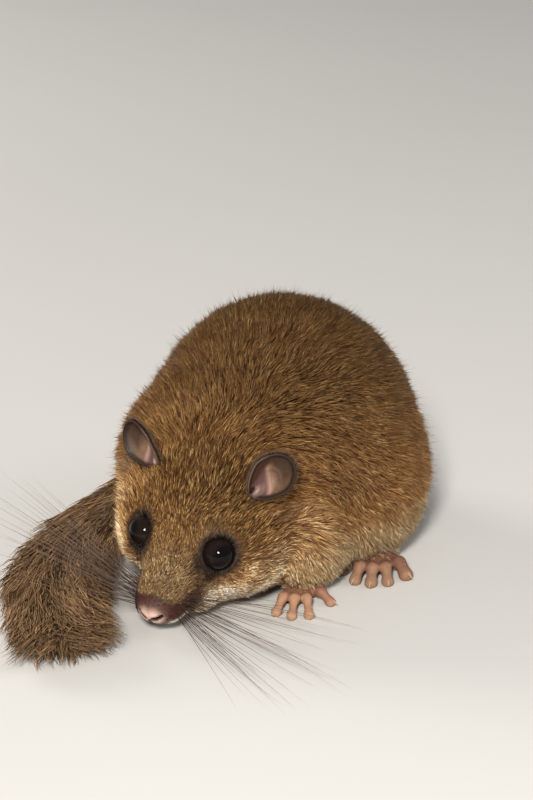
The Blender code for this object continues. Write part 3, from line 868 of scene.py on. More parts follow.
def bareness(points):
    """1 where the skin is bare, 0 under the coat."""
    paired = paired_head(points)
    shares = [
        smooth(pink_share(paired), 0.05, 0.4),
        0.8 * wine_share(paired),
        smooth(lid_distance(points), 0.6, 0.3),
        from_eyes(points) < 4.35,
        0.93 * smooth(body_field(points) + 1.0 - paw_field(points), 0.2, 1.2),
    ]
    for side in (1, -1):
        route = mouth_route(side)
        shares += [near_line(points, a, b, 0.5) > 0.4 for a, b in zip(route, route[1:])]
    return np.clip(np.maximum.reduce(shares), 0, 1)


def over_bare(points):
    """Whether points lie over an eye, the nose pad or the lips."""
    paired = paired_head(points)
    found = near_line(paired, (2.6, 1.9, -4.2), (6.4, 6.2, -4.7), 0.8) > 0.45
    found |= pink_share(paired) > 0.3
    for side in (1, -1):
        out = points - eye_place(side)
        span = np.linalg.norm(out, axis=1)
        facing = out @ eye_axis(side) / np.maximum(span, 1e-6)
        found |= (span < EYE_RADIUS + 0.75) & (facing > 0.24)
    return found


def lie_of_hair(points, normals):
    """The direction along the skin in which the hair lies."""
    away = unit(to_head(points) - np.array((0, -5.0, 0)))
    on_head_way = unit(away + np.array((0, 0.9, -0.1))) @ HEAD_TURN.T
    across = from_middle(points)
    down = 0.2 + 0.9 * smooth(np.abs(across), 8, 34) + 0.9 * smooth(points[:, 1], 6, 36)
    down += 1.6 * smooth(points[:, 2], 22, 8)
    on_body_way = np.stack([0.12 * np.tanh(across / 8), np.ones(len(points)), -down], axis=1)
    share = head_share(points)[:, None]
    way = unit(on_head_way) * share + unit(on_body_way) * (1 - share)
    for side in (1, -1):
        out = points - eye_place(side)
        span = np.linalg.norm(out, axis=1)
        way = way + (1.1 * smooth(span, 8.5, 4.5))[:, None] * unit(out)
    way = way + 0.14 * np.stack([Ripple(seed, 11.0).at(points) for seed in (31, 32, 33)], axis=1)
    way = way - np.sum(way * normals, axis=1, keepdims=True) * normals
    return unit(way)


# Hair tufts, as joined meshes


def ring_faces(rings):
    """Triangles of one tuft: a root point, rings of three points, and a tip."""
    turns = ((0, 1), (1, 2), (2, 0))
    last = 3 * rings - 2
    faces = [(0, 1 + n, 1 + k) for k, n in turns]
    for low in range(1, last, 3):
        high = low + 3
        for k, n in turns:
            faces += [(low + k, low + n, high + n), (low + k, high + n, high + k)]
    faces += [(last + k, last + n, last + 3) for k, n in turns]
    return np.array(faces)


PATCH = 0.003  # the size of each tuft on the bake map
RING_ANGLES = (math.pi / 2, math.pi * 7 / 6, math.pi * 11 / 6)


def tuft_mesh(name, stations, normals, widths, colours, patches):
    """One mesh of many tufts. Stations go from root to tip, widths are of the rings between."""
    count = len(stations[0])
    rings = len(stations) - 2
    size = 2 + 3 * rings
    points = np.empty((count, size, 3))
    shades = np.empty((count, size, 3), np.float32)
    flat = np.empty((size, 2))
    points[:, 0], points[:, -1] = stations[0], stations[-1]
    shades[:, 0], shades[:, -1] = colours[0], colours[-1]
    flat[0], flat[-1] = (-0.5, 0.0), (0.5, 0.0)
    for ring in range(rings):
        centre = stations[ring + 1]
        along = unit(stations[ring + 2] - stations[ring])
        side = unit(np.cross(normals, along))
        up = np.cross(along, side)
        for k, angle in enumerate(RING_ANGLES):
            out = math.cos(angle) * side + 0.75 * math.sin(angle) * up
            points[:, 1 + 3 * ring + k] = centre + widths[ring][:, None] * out
            shades[:, 1 + 3 * ring + k] = colours[ring + 1]
            share = (ring + 1) / (rings + 1) - 0.5
            flat[1 + 3 * ring + k] = (share + 0.04 * math.sin(angle), 0.5 * math.cos(angle) + 0.03)
    points[:, :, 2] = np.maximum(points[:, :, 2], FLOOR_REST)
    faces = (ring_faces(rings)[None] + (np.arange(count) * size)[:, None, None]).reshape(-1, 3)
    data = bpy.data.meshes.new(name)
    data.vertices.add(count * size)
    data.vertices.foreach_set("co", to_row(points.reshape(-1, 3)).ravel())
    data.loops.add(faces.size)
    data.loops.foreach_set("vertex_index", faces.ravel())
    data.polygons.add(len(faces))
    data.polygons.foreach_set("loop_start", np.arange(len(faces)) * 3)
    data.update(calc_edges=True)
    set_colours(data, shades.reshape(-1, 3))
    layer = data.uv_layers.new(name="OFBake")
    spots = (patches[:, None, :] + PATCH * flat[None]).reshape(-1, 2)
    layer.data.foreach_set("uv", np.clip(spots, 0.0, 1.0)[faces.ravel()].ravel())
    return new_object(name, data)


def unwrapped(points, centre):
    """Places of points on a square, from the eight faces of a shape round the centre."""
    way = points - np.array(centre)
    way = way / np.abs(way).sum(axis=1, keepdims=True)
    x, y = way[:, 0], way[:, 2]
    behind = way[:, 1] > 0
    turned_x = (1 - np.abs(y)) * np.where(x < 0, -1, 1)
    turned_y = (1 - np.abs(x)) * np.where(y < 0, -1, 1)
    flat = np.stack([np.where(behind, turned_x, x), np.where(behind, turned_y, y)], axis=1)
    return 0.5 + 0.49 * flat


def triangles_of(shape):
    """The skin's triangles: their corners, area and the normals at their corners."""
    mesh = shape.data
    mesh.calc_loop_triangles()
    corners = np.empty(len(mesh.loop_triangles) * 3, int)
    mesh.loop_triangles.foreach_get("vertices", corners)
    corners = corners.reshape(-1, 3)
    points = from_row(positions(shape))
    normals = positions(shape, "normal")
    a, b, c = (points[corners[:, k]] for k in range(3))
    area = 0.5 * np.linalg.norm(np.cross(b - a, c - a), axis=1)
    return points, normals, corners, area


def ear_frame(side):
    """Root, and the axes across, up and out of an ear."""
    root, tip, opening = EARS[side]
    up = unit(HEAD_TURN @ np.array(tip, float))
    out = HEAD_TURN @ np.array(opening, float)
    out = unit(out - (out @ up) * up)
    return on_head(root), np.cross(up, out), up, out


def in_ear(points):
    """Whether points lie in the cup of an ear or just in front of it."""
    found = np.zeros(len(points), bool)
    for side in EARS:
        root, across, up, out = ear_frame(side)
        x, y, z = (points - root) @ across, (points - root) @ up, (points - root) @ out
        wide = (x / (0.5 * EAR_WIDTH)) ** 2 + ((y - 0.60 * EAR_LENGTH) / (0.43 * EAR_LENGTH)) ** 2
        found |= (wide < 1.0) & (z > -4.4) & (z < 3.2)
    return found


def region_of(points):
    """Which piece of the coat a point belongs to, as its place among REGIONS."""
    back = to_head(points)[:, 1]
    y = points[:, 1]
    left = from_middle(points) > 0
    kinds = (back < 20, (back < 40) & (y < -14), y < -4, left & (y > 14), y > 14, left)
    return np.select(kinds, (0, 1, 2, 5, 6, 3), 4)


REGIONS = ("face", "crown", "shoulders", "flank_left", "flank_right", "rump_left", "rump_right")


def nearest(points, targets):
    """For each point the number of the target nearest to it."""
    tree = KDTree(len(targets))
    for number, target in enumerate(targets):
        tree.insert(target, number)
    tree.balance()
    return np.array([tree.find(point)[1] for point in points])


def locks_of(roots, chance, size):
    """For each hair the number of its nearest leading hair, one in every size."""
    leaders = chance.choice(len(roots), max(8, int(len(roots) / size)), replace=False)
    return leaders[nearest(roots, roots[leaders])]


def scatter(skin, region, count, chance):
    """Roots and normals of hairs over one region of the skin, closer together on the face."""
    points, normals, corners, area = triangles_of(skin)
    middles = points[corners].mean(axis=1)
    here = region_of(middles) == region
    weight = area * here * (1 - bareness(middles))
    weight *= 1 + 1.6 * smooth(to_head(middles)[:, 1], 26, 8)
    weight *= 0.35 + 0.65 * smooth(middles[:, 2], 1.5, 8)
    chosen = chance.choice(len(weight), count, p=weight / weight.sum())
    share = chance.uniform(size=(count, 2))
    share = np.where(share.sum(axis=1, keepdims=True) > 1, 1 - share, share)
    share = np.column_stack([1 - share.sum(axis=1), share])
    roots = np.einsum("nk,nkd->nd", share, points[corners[chosen]])
    return roots, unit(np.einsum("nk,nkd->nd", share, normals[corners[chosen]]))


def grow_coat(skin, region, count, body_depth, seed):
    """Short tufts over one region of the skin, gathered in small locks."""
    chance = np.random.default_rng(seed)
    roots, normal = scatter(skin, region, count, chance)
    depth = coat_depth(roots, body_depth)
    on_paw = paw_field(roots) < body_field(roots) + 0.4
    depth = np.where(on_paw, 0.22, depth)
    lock = locks_of(roots, chance, 2.0)
    way = lie_of_hair(roots, normal)
    side = np.cross(normal, way)
    swing = 0.10 * chance.normal(size=count)[lock] + 0.08 * chance.normal(size=count)
    way = unit(way + swing[:, None] * side)

    guard = chance.uniform(size=count) < 0.09
    stray = guard & (chance.uniform(size=count) < 0.4)
    length = (0.65 + 1.4 * depth) * chance.uniform(0.75, 1.2, count) * np.where(guard, 1.25, 1.0)
    high = depth * chance.uniform(0.55, 1.05, count) * (1 + 0.14 * chance.normal(size=count)[lock])
    fluff = near_line(to_head(roots), (-16.0, 15.0, -3.0), (-20.0, 33.0, 0.0), 6.0)
    length = length * (1 + 0.5 * fluff)
    high = high * (1 + 0.9 * fluff)
    high = np.maximum(high * np.where(guard, 1.25, 1.0) * np.where(stray, 1.35, 1.0), 0.18)
    flat = np.sqrt(np.maximum(length**2 - high**2, 0.04 * length**2))
    curl = chance.normal(0, 0.06, count) * length
    start = roots - 0.3 * normal
    middle = roots + (0.58 * high)[:, None] * normal + (0.46 * flat)[:, None] * way
    tip = roots + high[:, None] * normal + flat[:, None] * way + curl[:, None] * side
    pull = chance.uniform(0.05, 0.4, (count, 1)) * np.where(guard, 0.2, 1.0)[:, None]
    tip += pull * (tip[lock] - tip)
    keep = np.ones(count, bool)
    for places in (middle, 0.5 * (tip + middle), tip):
        keep &= ~(in_ear(places) | over_bare(places))
    width = (0.070 + 0.014 * np.minimum(depth, 3.0)) * chance.uniform(0.7, 1.2, count)
    width = width * np.where(guard, 0.65, 1.0) * np.where(stray, 0.6, 1.0)

    tone = np.where(on_paw[:, None], np.array(PAW_HAIR), markings(roots))
    fine = head_share(roots)
    pale = smooth(tone[:, 0], 0.45, 0.8)
    uneven = 0.30 + 0.30 * fine
    light = np.exp(0.20 * chance.normal(size=count)[lock] + uneven * chance.normal(size=count))
    light = light * (1 + 0.05 * Ripple(71, 13.0).at(roots) + 0.07 * Ripple(72, 4.0).at(roots))
    dark_hair = chance.uniform(size=count) < (0.15 + 0.15 * fine) * (1 - 0.75 * pale)
    light = np.clip(light, 0.30, 2.4) * np.where(dark_hair, 0.35, 1.0)
    tan = np.clip(0.7 * chance.normal(size=count)[lock], -1.2, 1.2)
    hue = 1 + tan[:, None] * np.array((0.03, 0.0, -0.10))
    tip_tone = lit(tone * hue, light * np.where(guard & ~stray, 0.5 + 0.5 * pale, 1.15))
    # Darker towards the root: partly the hairs' own dark bases, partly painted shade deep in the coat,
    # less on pale hair
    middle_tone = lit(tone * hue, light * (0.62 + 0.25 * pale))
    root_tone = lit(tone, 0.18 + 0.4 * pale) + 0.004

    stations = [place[keep] for place in (start, middle, tip)]
    shades = [shade[keep] for shade in (root_tone, middle_tone, tip_tone)]
    centre = on_head((0, 22, 0)) if region < 2 else BODY_CENTRE
    patches = unwrapped(roots[keep], centre)
    return tuft_mesh("coat_" + REGIONS[region], stations, normal[keep], [width[keep]], shades, patches)


# The tail


def traced(at, steps, line):
    """Values on a line given at its steps, at numbers that may lie between them."""
    return np.stack([np.interp(at, steps, line[:, k]) for k in range(3)], axis=-1)


def smooth_route(points, count):
    """Evenly spaced points on a smooth curve through the given ones."""
    points = np.array(points)
    fine = []
    for i in range(len(points) - 1):
        before = points[max(i - 1, 0)]
        after = points[min(i + 2, len(points) - 1)]
        for t in np.arange(0, 1, 0.05):
            slope_in = (points[i + 1] - before) / 2
            slope_out = (after - points[i]) / 2
            fine.append(
                (2 * t**3 - 3 * t**2 + 1) * points[i]
                + (t**3 - 2 * t**2 + t) * slope_in
                + (3 * t**2 - 2 * t**3) * points[i + 1]
                + (t**3 - t**2) * slope_out
            )
    fine = np.array(fine + [points[-1]])
    length = np.concatenate([[0], np.cumsum(np.linalg.norm(np.diff(fine, axis=0), axis=1))])
    return traced(np.linspace(0, length[-1], count), length, fine)


TAIL_LINE = smooth_route(TAIL_ROUTE, TAIL_STEPS + 1)
TAIL_STEP = float(np.linalg.norm(TAIL_LINE[1] - TAIL_LINE[0]))


def tail_frames(at):
    """Place, direction, side and up at points of the tail's line, counted in its steps."""
    steps = np.arange(TAIL_STEPS + 1)
    at = np.clip(at, 0, TAIL_STEPS)
    place = traced(at, steps, TAIL_LINE)
    along = unit(traced(at, steps, np.gradient(TAIL_LINE, axis=0)))
    side = unit(np.cross(along, (0.0, 0.0, 1.0)))
    return place, along, side, np.cross(side, along)


def tail_points(at, angle, reach):
    """Points of the tail's cross-section: reach is 0 at its middle and 1 at the hair's tips."""
    place, _, side, up = tail_frames(at)
    share = np.clip(at, 0, TAIL_STEPS) / TAIL_STEPS
    rise = np.clip((share - 0.3) / 0.45, 0, 1)
    full = 0.52 + 0.48 * rise * rise * (3 - 2 * rise)
    full = full * np.sqrt(np.maximum(0.04, 1 - np.maximum(0, (share - 0.76) / 0.25) ** 2))
    wide = TAIL_HALF_WIDTH * full * reach
    high = TAIL_HALF_HEIGHT * np.minimum(1, 0.75 + 0.4 * full) * np.minimum(1, 2.5 * full) * reach
    return place + (wide * np.cos(angle))[..., None] * side + (high * np.sin(angle))[..., None] * up


def tail_out(angle, side, up):
    """From the tail's middle to the tips of its hair, at angles round it."""
    wide = (np.cos(angle) * TAIL_HALF_WIDTH)[:, None] * side
    return wide + (np.sin(angle) * TAIL_HALF_HEIGHT)[:, None] * up


def parting(at, angle):
    """1 on the pale line where the hair parts towards the tail's end."""
    away = np.abs(np.angle(np.exp(1j * (angle - 1.9))))
    return smooth(away, 0.42, 0.08) * smooth(at, 26, 36) * smooth(at, 56, 48)


def make_tail_skin():
    """The slim tail under its hair, from the rump to near the tip."""
    rings, sides = 75, 28
    end = TAIL_STEPS - 7
    mesh = bmesh.new()
    bmesh.ops.create_grid(mesh, x_segments=sides, y_segments=rings, size=1)
    flat = np.array([vert.co[:] for vert in mesh.verts])
    at = (flat[:, 1] + 1) / 2 * end
    angle = (flat[:, 0] + 1) * math.pi
    reach = 0.32 * np.minimum(1, 0.25 + 1.6 * np.sqrt(np.maximum(0, 1 - at / end)))
    for vert, point in zip(mesh.verts, to_row(tail_points(at, angle, reach))):
        vert.co = point
    bmesh.ops.remove_doubles(mesh, verts=mesh.verts, dist=1e-6)
    open_edges = [edge for edge in mesh.edges if edge.is_boundary]
    bmesh.ops.holes_fill(mesh, edges=open_edges, sides=0)
    skin = from_bmesh("tail_skin", mesh)
    points = from_row(positions(skin))
    step = nearest(points, TAIL_LINE).astype(float)
    place, _, side, up = tail_frames(step)
    out = points - place
    turn = np.arctan2(np.sum(out * up, axis=1) * 2.2, np.sum(out * side, axis=1))
    colour = 0.45 * np.array(TAIL_BROWN)
    set_colours(skin.data, mixed(colour, TAIL_PINK, 0.7 * parting(step, turn)))
    return skin


def grow_tail(name, start, end, count, seed):
    """Long tufts that leave the tail slantwise and reach back past its end."""
    chance = np.random.default_rng(seed)
    at = chance.uniform(start, end, count)
    late = chance.uniform(size=count) < 0.22 * (end > TAIL_STEPS / 2)
    at = np.where(late, chance.uniform(43, 57.5, count), at)
    angle = chance.uniform(0, 2 * math.pi, count)
    angle = angle - 0.22 * np.sin(2 * angle)
    _, _, side, up = tail_frames(at)
    normal = unit(tail_out(angle, side, up))
    root_reach = 0.27 * (1 - 0.85 * smooth(at, 44, 55))
    roots = tail_points(at, angle, root_reach)
    rise = 0.52 + 0.48 * smooth(at / TAIL_STEPS, 0.30, 0.75)
    lock = locks_of(roots, chance, 7)
    length = chance.uniform(15, 23, count) * (0.75 + 0.25 * rise) * (1 - 0.25 * smooth(at, 50, 57))
    steps = length / TAIL_STEP
    inner = 0.45 - 0.42 * smooth(at, 40, 50)
    reach = rise * (inner + (0.86 - inner) * chance.uniform(0, 1, count) ** 0.8)
    reach = reach * (1 + 0.10 * chance.normal(size=count)[lock])
    swing = 0.28 * chance.normal(size=count)[lock] + 0.10 * chance.normal(size=count)
    far_angle = angle + swing * 0.6

    def station(ahead, outward, turn):
        """Places on the hairs, some steps ahead of the roots and some way out to their reach."""
        place, along, side, up = tail_frames(at + ahead * steps)
        out = root_reach + outward * (reach - root_reach)
        past = np.maximum(at + ahead * steps - TAIL_STEPS, 0) * TAIL_STEP
        return place + out[:, None] * tail_out(turn, side, up), 0.55 * past[:, None], along

    first, _, _ = station(0.30, 0.42, angle)
    second, second_past, _ = station(0.64, 0.78, far_angle)
    tip, tip_past, along = station(0.93, 1.0, far_angle)
    jitter = 0.7 * chance.normal(size=(count, 3))[lock] + 0.35 * chance.normal(size=(count, 3))
    second = second + second_past * along + 0.4 * jitter
    tip = tip + tip_past * along + jitter
    tip += chance.uniform(0.1, 0.5, (count, 1)) * (tip[lock] - tip)
    width = chance.uniform(0.12, 0.21, count)
    light = np.exp(0.28 * chance.normal(size=count)[lock] + 0.22 * chance.normal(size=count))
    light = light * np.where(chance.uniform(size=count)[lock] < 0.15, 0.55, 1.0)
    brown = np.array(TAIL_BROWN)
    tips = mixed(brown, TAIL_TIPS, chance.uniform(0, 1, count) * 0.85)
    pale = (0.14 * parting(at, angle))[:, None] * np.array((1.0, 0.72, 0.55))
    # Darker towards the roots: partly the hairs' own colour, partly painted shade inside the brush
    shades = [
        brown * 0.25 + 1.2 * pale,
        brown * (0.60 * light)[:, None] + 0.9 * pale,
        brown * (0.95 * light)[:, None] + 0.3 * pale,
        tips * light[:, None],
    ]
    turns = (angle / (2 * math.pi)) % 1
    patches = 0.01 + 0.98 * np.stack([at / TAIL_STEPS, turns], axis=1)
    return tuft_mesh(name, [roots, first, second, tip], normal, [width, width * 0.85], shades, patches)


# Ears


def ear_places(rx, ry):
    """Places of the ear's middle surface in its own frame, from places on a round disc."""
    height = (ry + 1) / 2
    narrow = 0.62 + 0.38 * np.minimum(1.0, height / 0.55)
    span = np.minimum(1.0, rx**2 + (0.75 * ry) ** 2)
    deep = -3.1 * (1 - span) + 0.8 * height**2
    return np.stack([0.5 * EAR_WIDTH * rx * narrow, EAR_LENGTH * height, deep], axis=-1)


def bell(value, width):
    return np.exp(-((value / width) ** 2))


def make_ear(side):
    """One ear: a thin cup with a rolled rim, the inner ridge, the front flap and the canal."""
    columns, rows = 56, 52
    mesh = bmesh.new()
    bmesh.ops.create_grid(mesh, x_segments=columns, y_segments=rows, size=1)
    wide, tall = np.array([vert.co[:2] for vert in mesh.verts]).T
    rx = wide * np.sqrt(1 - tall**2 / 2)
    ry = tall * np.sqrt(1 - wide**2 / 2)
    points = ear_places(rx, ry)
    span = np.hypot(rx, ry)
    across = rx if side == "left" else -rx
    off_ridge = (across - 0.06 + 1.7 * (ry + 0.12)) / 2.0
    ridge = bell(off_ridge, 0.10) * smooth(across, -0.55, -0.25) * smooth(across, 0.78, 0.5)
    arch = bell(np.hypot(across - 0.1, ry + 0.25) - 0.52, 0.09) * smooth(ry, -0.1, 0.2)
    flap = bell(across - 0.06, 0.17) * bell(ry + 0.74, 0.15)
    canal = bell(across + 0.22, 0.10) * bell(ry + 0.84, 0.10)
    rim = smooth(span, 0.86, 1.0)
    points[:, 2] += 0.45 * ridge + 0.22 * arch + 0.8 * flap - 1.0 * canal + 0.25 * rim
    for vert, point in zip(mesh.verts, points):
        vert.co = point
    ear = from_bmesh("ear_skin_" + side, mesh)
    root, x_axis, y_axis, z_axis = ear_frame(side)
    turn = np.stack([x_axis, y_axis, z_axis])
    set_positions(ear, to_row(root + positions(ear) @ turn))
    if positions(ear, "normal").mean(axis=0) @ z_axis < 0:
        ear.data.flip_normals()
    solidify = ear.modifiers.new("solidify", "SOLIDIFY")
    solidify.thickness = 0.42 * MM
    solidify.offset = -1.0
    apply_modifiers(ear)
    inner = layered(
        EAR_CUP,
        # painted shade in the hollow beside the ridge
        (EAR_HOLLOW_SHADE, smooth(off_ridge, 0.0, -0.14)),
        (EAR_FRONT, smooth(across, -0.30, -0.62)),
        (EAR_TOP, smooth(ry + 0.35 * across, 0.05, 0.42)),
        (EAR_SIDE, 0.7 * smooth(across, 0.45, 0.75)),
        (EAR_RIDGE, np.clip(1.15 * ridge, 0, 1)),
        (EAR_ARCH, 0.5 * np.clip(arch, 0, 1)),
        (EAR_RIM, smooth(span, 0.80, 0.94)),
        (EAR_FLAP, np.clip(1.2 * flap, 0, 1)),
        # painted shadow: the canal is only a shallow dip, coloured near black
        (EAR_CANAL_SHADOW, np.clip(1.5 * canal, 0, 1)),
        # painted highlight along the very edge of the rim, low on the front side
        (EAR_RIM_HIGHLIGHT, smooth(span, 0.985, 1.0) * smooth(across, -0.3, -0.7) * smooth(ry, 0.6, 0.3)),
    )
    outer = mixed(EAR_BACK, EAR_BASE, smooth(ry, 0.0, -0.8))
    set_colours(ear.data, np.concatenate([inner, outer])[: len(ear.data.vertices)])
    return ear


def ear_fuzz(side, count, seed):
    """Very short hair on the back of an ear and along its rim."""
    chance = np.random.default_rng(seed)
    turn = chance.uniform(0, 2 * math.pi, count)
    reach = np.sqrt(chance.uniform(0.0, 1.0, count))
    rim = chance.uniform(size=count) < 0.3
    reach = np.where(rim, chance.uniform(0.95, 1.0, count), reach)
    rx, ry = reach * np.cos(turn), reach * np.sin(turn)
    local = ear_places(rx, ry) - np.array((0, 0, 0.5))
    root, x_axis, y_axis, z_axis = ear_frame(side)
    axes = np.stack([x_axis, y_axis, z_axis])
    out = np.stack([0.8 * rx, 0.3 * ry, np.where(rim, -0.25, -1.0)], axis=1)
    normal = unit(out) @ axes
    way = unit(np.stack([0.7 * rx, 0.6 + 0.7 * ry, np.zeros(count)], axis=1)) @ axes
    roots = root + local @ axes
    length = chance.uniform(0.7, 1.5, count)
    middle = roots + (0.16 * length)[:, None] * normal + (0.5 * length)[:, None] * way
    tip = roots + (0.30 * length)[:, None] * normal + length[:, None] * way
    tone = np.array(EAR_HAIR) * chance.uniform(0.6, 1.5, (count, 1))
    width = 0.05 * chance.uniform(0.8, 1.2, count)
    stations = [roots - 0.1 * normal, middle, tip]
    shades = [tone * 0.5, tone * 0.9, tone * 1.3]
    patches = unwrapped(roots, root + 6 * y_axis + 4 * z_axis)
    return tuft_mesh("ear_fuzz_" + side, stations, normal, [width], shades, patches)


# Whiskers


WHISKER_REACH = 9.5  # how far whiskers reach past the solids


def whisker_lines(side, count, seed):
    """Root, direction and length of each whisker, fanned out from rows on the whisker pad."""
    chance = np.random.default_rng(seed)
    lines = []
    for k in range(count):
        row, column = k % 5, (k // 5) / max(1, count // 5 - 1)
        place = (side * (4.4 + 2.4 * column), 3.4 + 5.0 * column, -3.2 + 1.0 * row + 0.3 * column)
        place = np.array(place) + chance.uniform(-0.25, 0.25, 3)
        spread = (row - 2) / 2
        if side > 0:
            way = (0.84 - 0.22 * column, -0.62 + 0.78 * column, -0.10 + 0.16 * spread)
        else:
            way = (-0.95, -0.30 + 0.55 * column, 0.52 + 0.20 * spread - 0.1 * column)
        way = unit(np.array(way) + chance.normal(0, 0.08, 3))
        length = (29 + 22 * math.sin(math.pi * (0.3 + 0.6 * column))) * chance.uniform(0.7, 1.1)
        root = on_head(place)
        room = root[:2] - from_row(np.array(CAD_BOX[0]))[:2] + WHISKER_REACH
        length = min(length, *(room / np.maximum(-way[:2], 1e-3)))
        lines.append((root, way, length))
    for brow in range(2):
        place = (side * (8.0 + 0.7 * brow), 20.5 + 1.4 * brow, 9.0)
        way = unit(np.array((side * 0.35, 0.9, 0.8)) + chance.normal(0, 0.15, 3))
        lines.append((on_head(place), HEAD_TURN @ way, 10 + 3 * brow))
    return lines


def make_whiskers(side, name, count, radius, seed):
    """Thin, tapered, bending hairs as closed tubes of four sides."""
    last = 11
    chance = np.random.default_rng(seed + 5)
    mesh = bmesh.new()
    shades = []
    for root, way, length in whisker_lines(side, count, seed):
        bend = (0.20 if side > 0 else 0.04) * length * chance.uniform(0.5, 1.4)
        low = 0.4 + 1.6 * chance.uniform()
        way[2] = max(way[2], (low - root[2]) / length)
        spare = root[2] + way[2] * length - low
        drop = np.array((0, 0.35 * bend, -min(bend, spare)))
        own = radius * chance.uniform(0.75, 1.15) * min(1.0, 0.45 + length / 50)
        t = np.linspace(0, 1, last + 1)[:, None]
        line = root - 1.0 * way + t * way * length + t**2 * drop
        rings = []
        for k in range(last):
            along = unit(line[k + 1] - line[max(k - 1, 0)])
            across = unit(np.cross(along, (0.1, 0.2, 1.0)))
            up = np.cross(across, along)
            thick = own * (1 - k / last) ** 0.8
            corners = (across, up, -across, -up)
            rings.append([mesh.verts.new(to_row(line[k] + thick * corner)) for corner in corners])
            shades += [k / last] * 4
        tip = mesh.verts.new(to_row(line[-1]))
        shades.append(1.0)
        for one, other in zip(rings, rings[1:]):
            for k in range(4):
                mesh.faces.new((one[k], one[(k + 1) % 4], other[(k + 1) % 4], other[k]))
        for k in range(4):
            mesh.faces.new((rings[-1][k], rings[-1][(k + 1) % 4], tip))
        mesh.faces.new(rings[0][::-1])
    whiskers = from_bmesh(name, mesh)
    set_colours(whiskers.data, mixed(WHISKER_ROOT, WHISKER_TIP, shades))
    return whiskers


# Claws and eyes


def make_claws():
    """A short curved claw on every finger and toe."""
    mesh = bmesh.new()
    shades = []
    for paw in PAWS:
        for start, along, radius in claw_lines(paw.toes):
            length = 0.9 + 0.95 * radius
            made = bmesh.ops.create_cone(
                mesh, cap_ends=True, segments=12, radius1=0.36 * radius, radius2=0.05, depth=1.0
            )
            edges = dict.fromkeys(edge for vert in made["verts"] for edge in vert.link_edges)
            sides = [edge for edge in edges if abs(edge.verts[0].co.z - edge.verts[1].co.z) > 0.5]
            bmesh.ops.subdivide_edges(mesh, edges=sides, cuts=4)
            mesh.verts.ensure_lookup_table()
            across = np.cross(along, (0.0, 0.0, 1.0))
            for vert in mesh.verts[len(shades) :]:
                x, y, z = vert.co
                share = z + 0.5
                point = start + along * (share * length - 0.25) + across * x * 0.8
                point[2] += 0.10 * share - 0.62 * share**2 + y * 1.15
                point[2] = max(point[2], PAW_SUNK + FLOOR_REST)
                vert.co = to_row(paw.world(point))
                shades.append(share)
    claws = from_bmesh("claws", mesh)
    set_colours(claws.data, mixed(CLAW_ROOT, CLAW_TIP, np.clip(shades, 0, 1)))
    return claws


def make_eye(side, name, radius):
    """An eyeball, with a slight bulge of the cornea."""
    mesh = bmesh.new()
    bmesh.ops.create_icosphere(mesh, subdivisions=6, radius=radius)
    eye = from_bmesh(name, mesh)
    points = positions(eye)
    facing = points @ eye_axis(side) / radius
    points = points * (1 + 0.035 * smooth(facing, 0.55, 1.0))[:, None]
    set_positions(eye, to_row(eye_place(side) + points))
    set_colours(eye.data, mixed(IRIS, PUPIL, smooth(facing, 0.5, 0.8)))
    return eye


# The skin


def halve(shape, fine):
    """Halves the edges between the chosen points."""
    mesh = bmesh.new()
    mesh.from_mesh(shape.data)
    edges = [edge for edge in mesh.edges if fine[edge.verts[0].index] and fine[edge.verts[1].index]]
    bmesh.ops.subdivide_edges(mesh, edges=edges, cuts=1, use_grid_fill=True)
    mesh.to_mesh(shape.data)
    mesh.free()


def make_skin(body_depth, voxel):
    """One closed skin of head, body, limbs and paws, finer on the face and paws."""
    start = bmesh.new()
    for form in BODY_FORMS:
        form.add_to(start, shrink=0.8 * body_depth)
    for form in HEAD_FORMS + (NOSE_PAD,):
        form.add_to(start, shrink=0.6)
    for paw in PAWS:
        paw.add_to(start)
    skin = from_bmesh("skin", start)
    remesh = skin.modifiers.new("remesh", "REMESH")
    remesh.mode = "VOXEL"
    remesh.voxel_size = voxel
    apply_modifiers(skin)

    def field(points):
        return skin_field(points, body_depth)

    def relax(rounds):
        points, edges = positions(skin), edges_of(skin)
        for _ in range(rounds):
            points = settled(settled(evened(points, edges), field), field)
        set_positions(skin, points)

    relax(3)
    points = positions(skin)
    head = to_head(points)
    halve(skin, (head[:, 1] < 14) | (from_eyes(points) < 7) | (paw_field(points) < 0.8))
    relax(2)
    points = positions(skin)
    halve(skin, (to_head(points)[:, 1] < 7) | (from_eyes(points) < 5.4))
    relax(2)
    points = positions(skin)
    under = 0.30 * markings(points)
    set_colours(skin.data, bare_colours(points, under))
    points[:, 2] = np.maximum(points[:, 2], 0.0)
    set_positions(skin, to_row(points))
    return skin


# What a user may change


class DormouseCoat(bpy.types.PropertyGroup):
    body_depth: FloatProperty(
        name="Depth on the body",
        description="How deep the coat stands on the back",
        default=0.003,
        min=0.001,
        max=0.006,
        unit="LENGTH",
    )
    tufts: IntProperty(
        name="Tufts",
        description="How many tufts a full piece of the coat has",
        default=28500,
        min=500,
        max=33300,
    )
    skin_grid: FloatProperty(
        name="Grid of the skin",
        description="Size of the skin's faces, half as large on the face",
        default=0.00066,
        min=0.0003,
        max=0.003,
        unit="LENGTH",
    )


class DormouseTail(bpy.types.PropertyGroup):
    tufts: IntProperty(
        name="Tail tufts",
        description="How many long tufts each half of the tail has",
        default=11000,
        min=200,
        max=16000,
    )


class DormouseFace(bpy.types.PropertyGroup):
    whiskers: IntProperty(
        name="Whiskers", description="Whiskers on each side", default=40, min=5, max=60
    )
    whisker_radius: FloatProperty(
        name="Whisker radius",
        description="Half the thickness of a whisker at its root",
        default=0.0001,
        min=0.00004,
        max=0.0003,
        unit="LENGTH",
    )
    eye_radius: FloatProperty(
        name="Eye radius",
        description="Radius of the eyeball",
        default=EYE_RADIUS * MM,
        min=0.002,
        max=0.006,
        unit="LENGTH",
    )


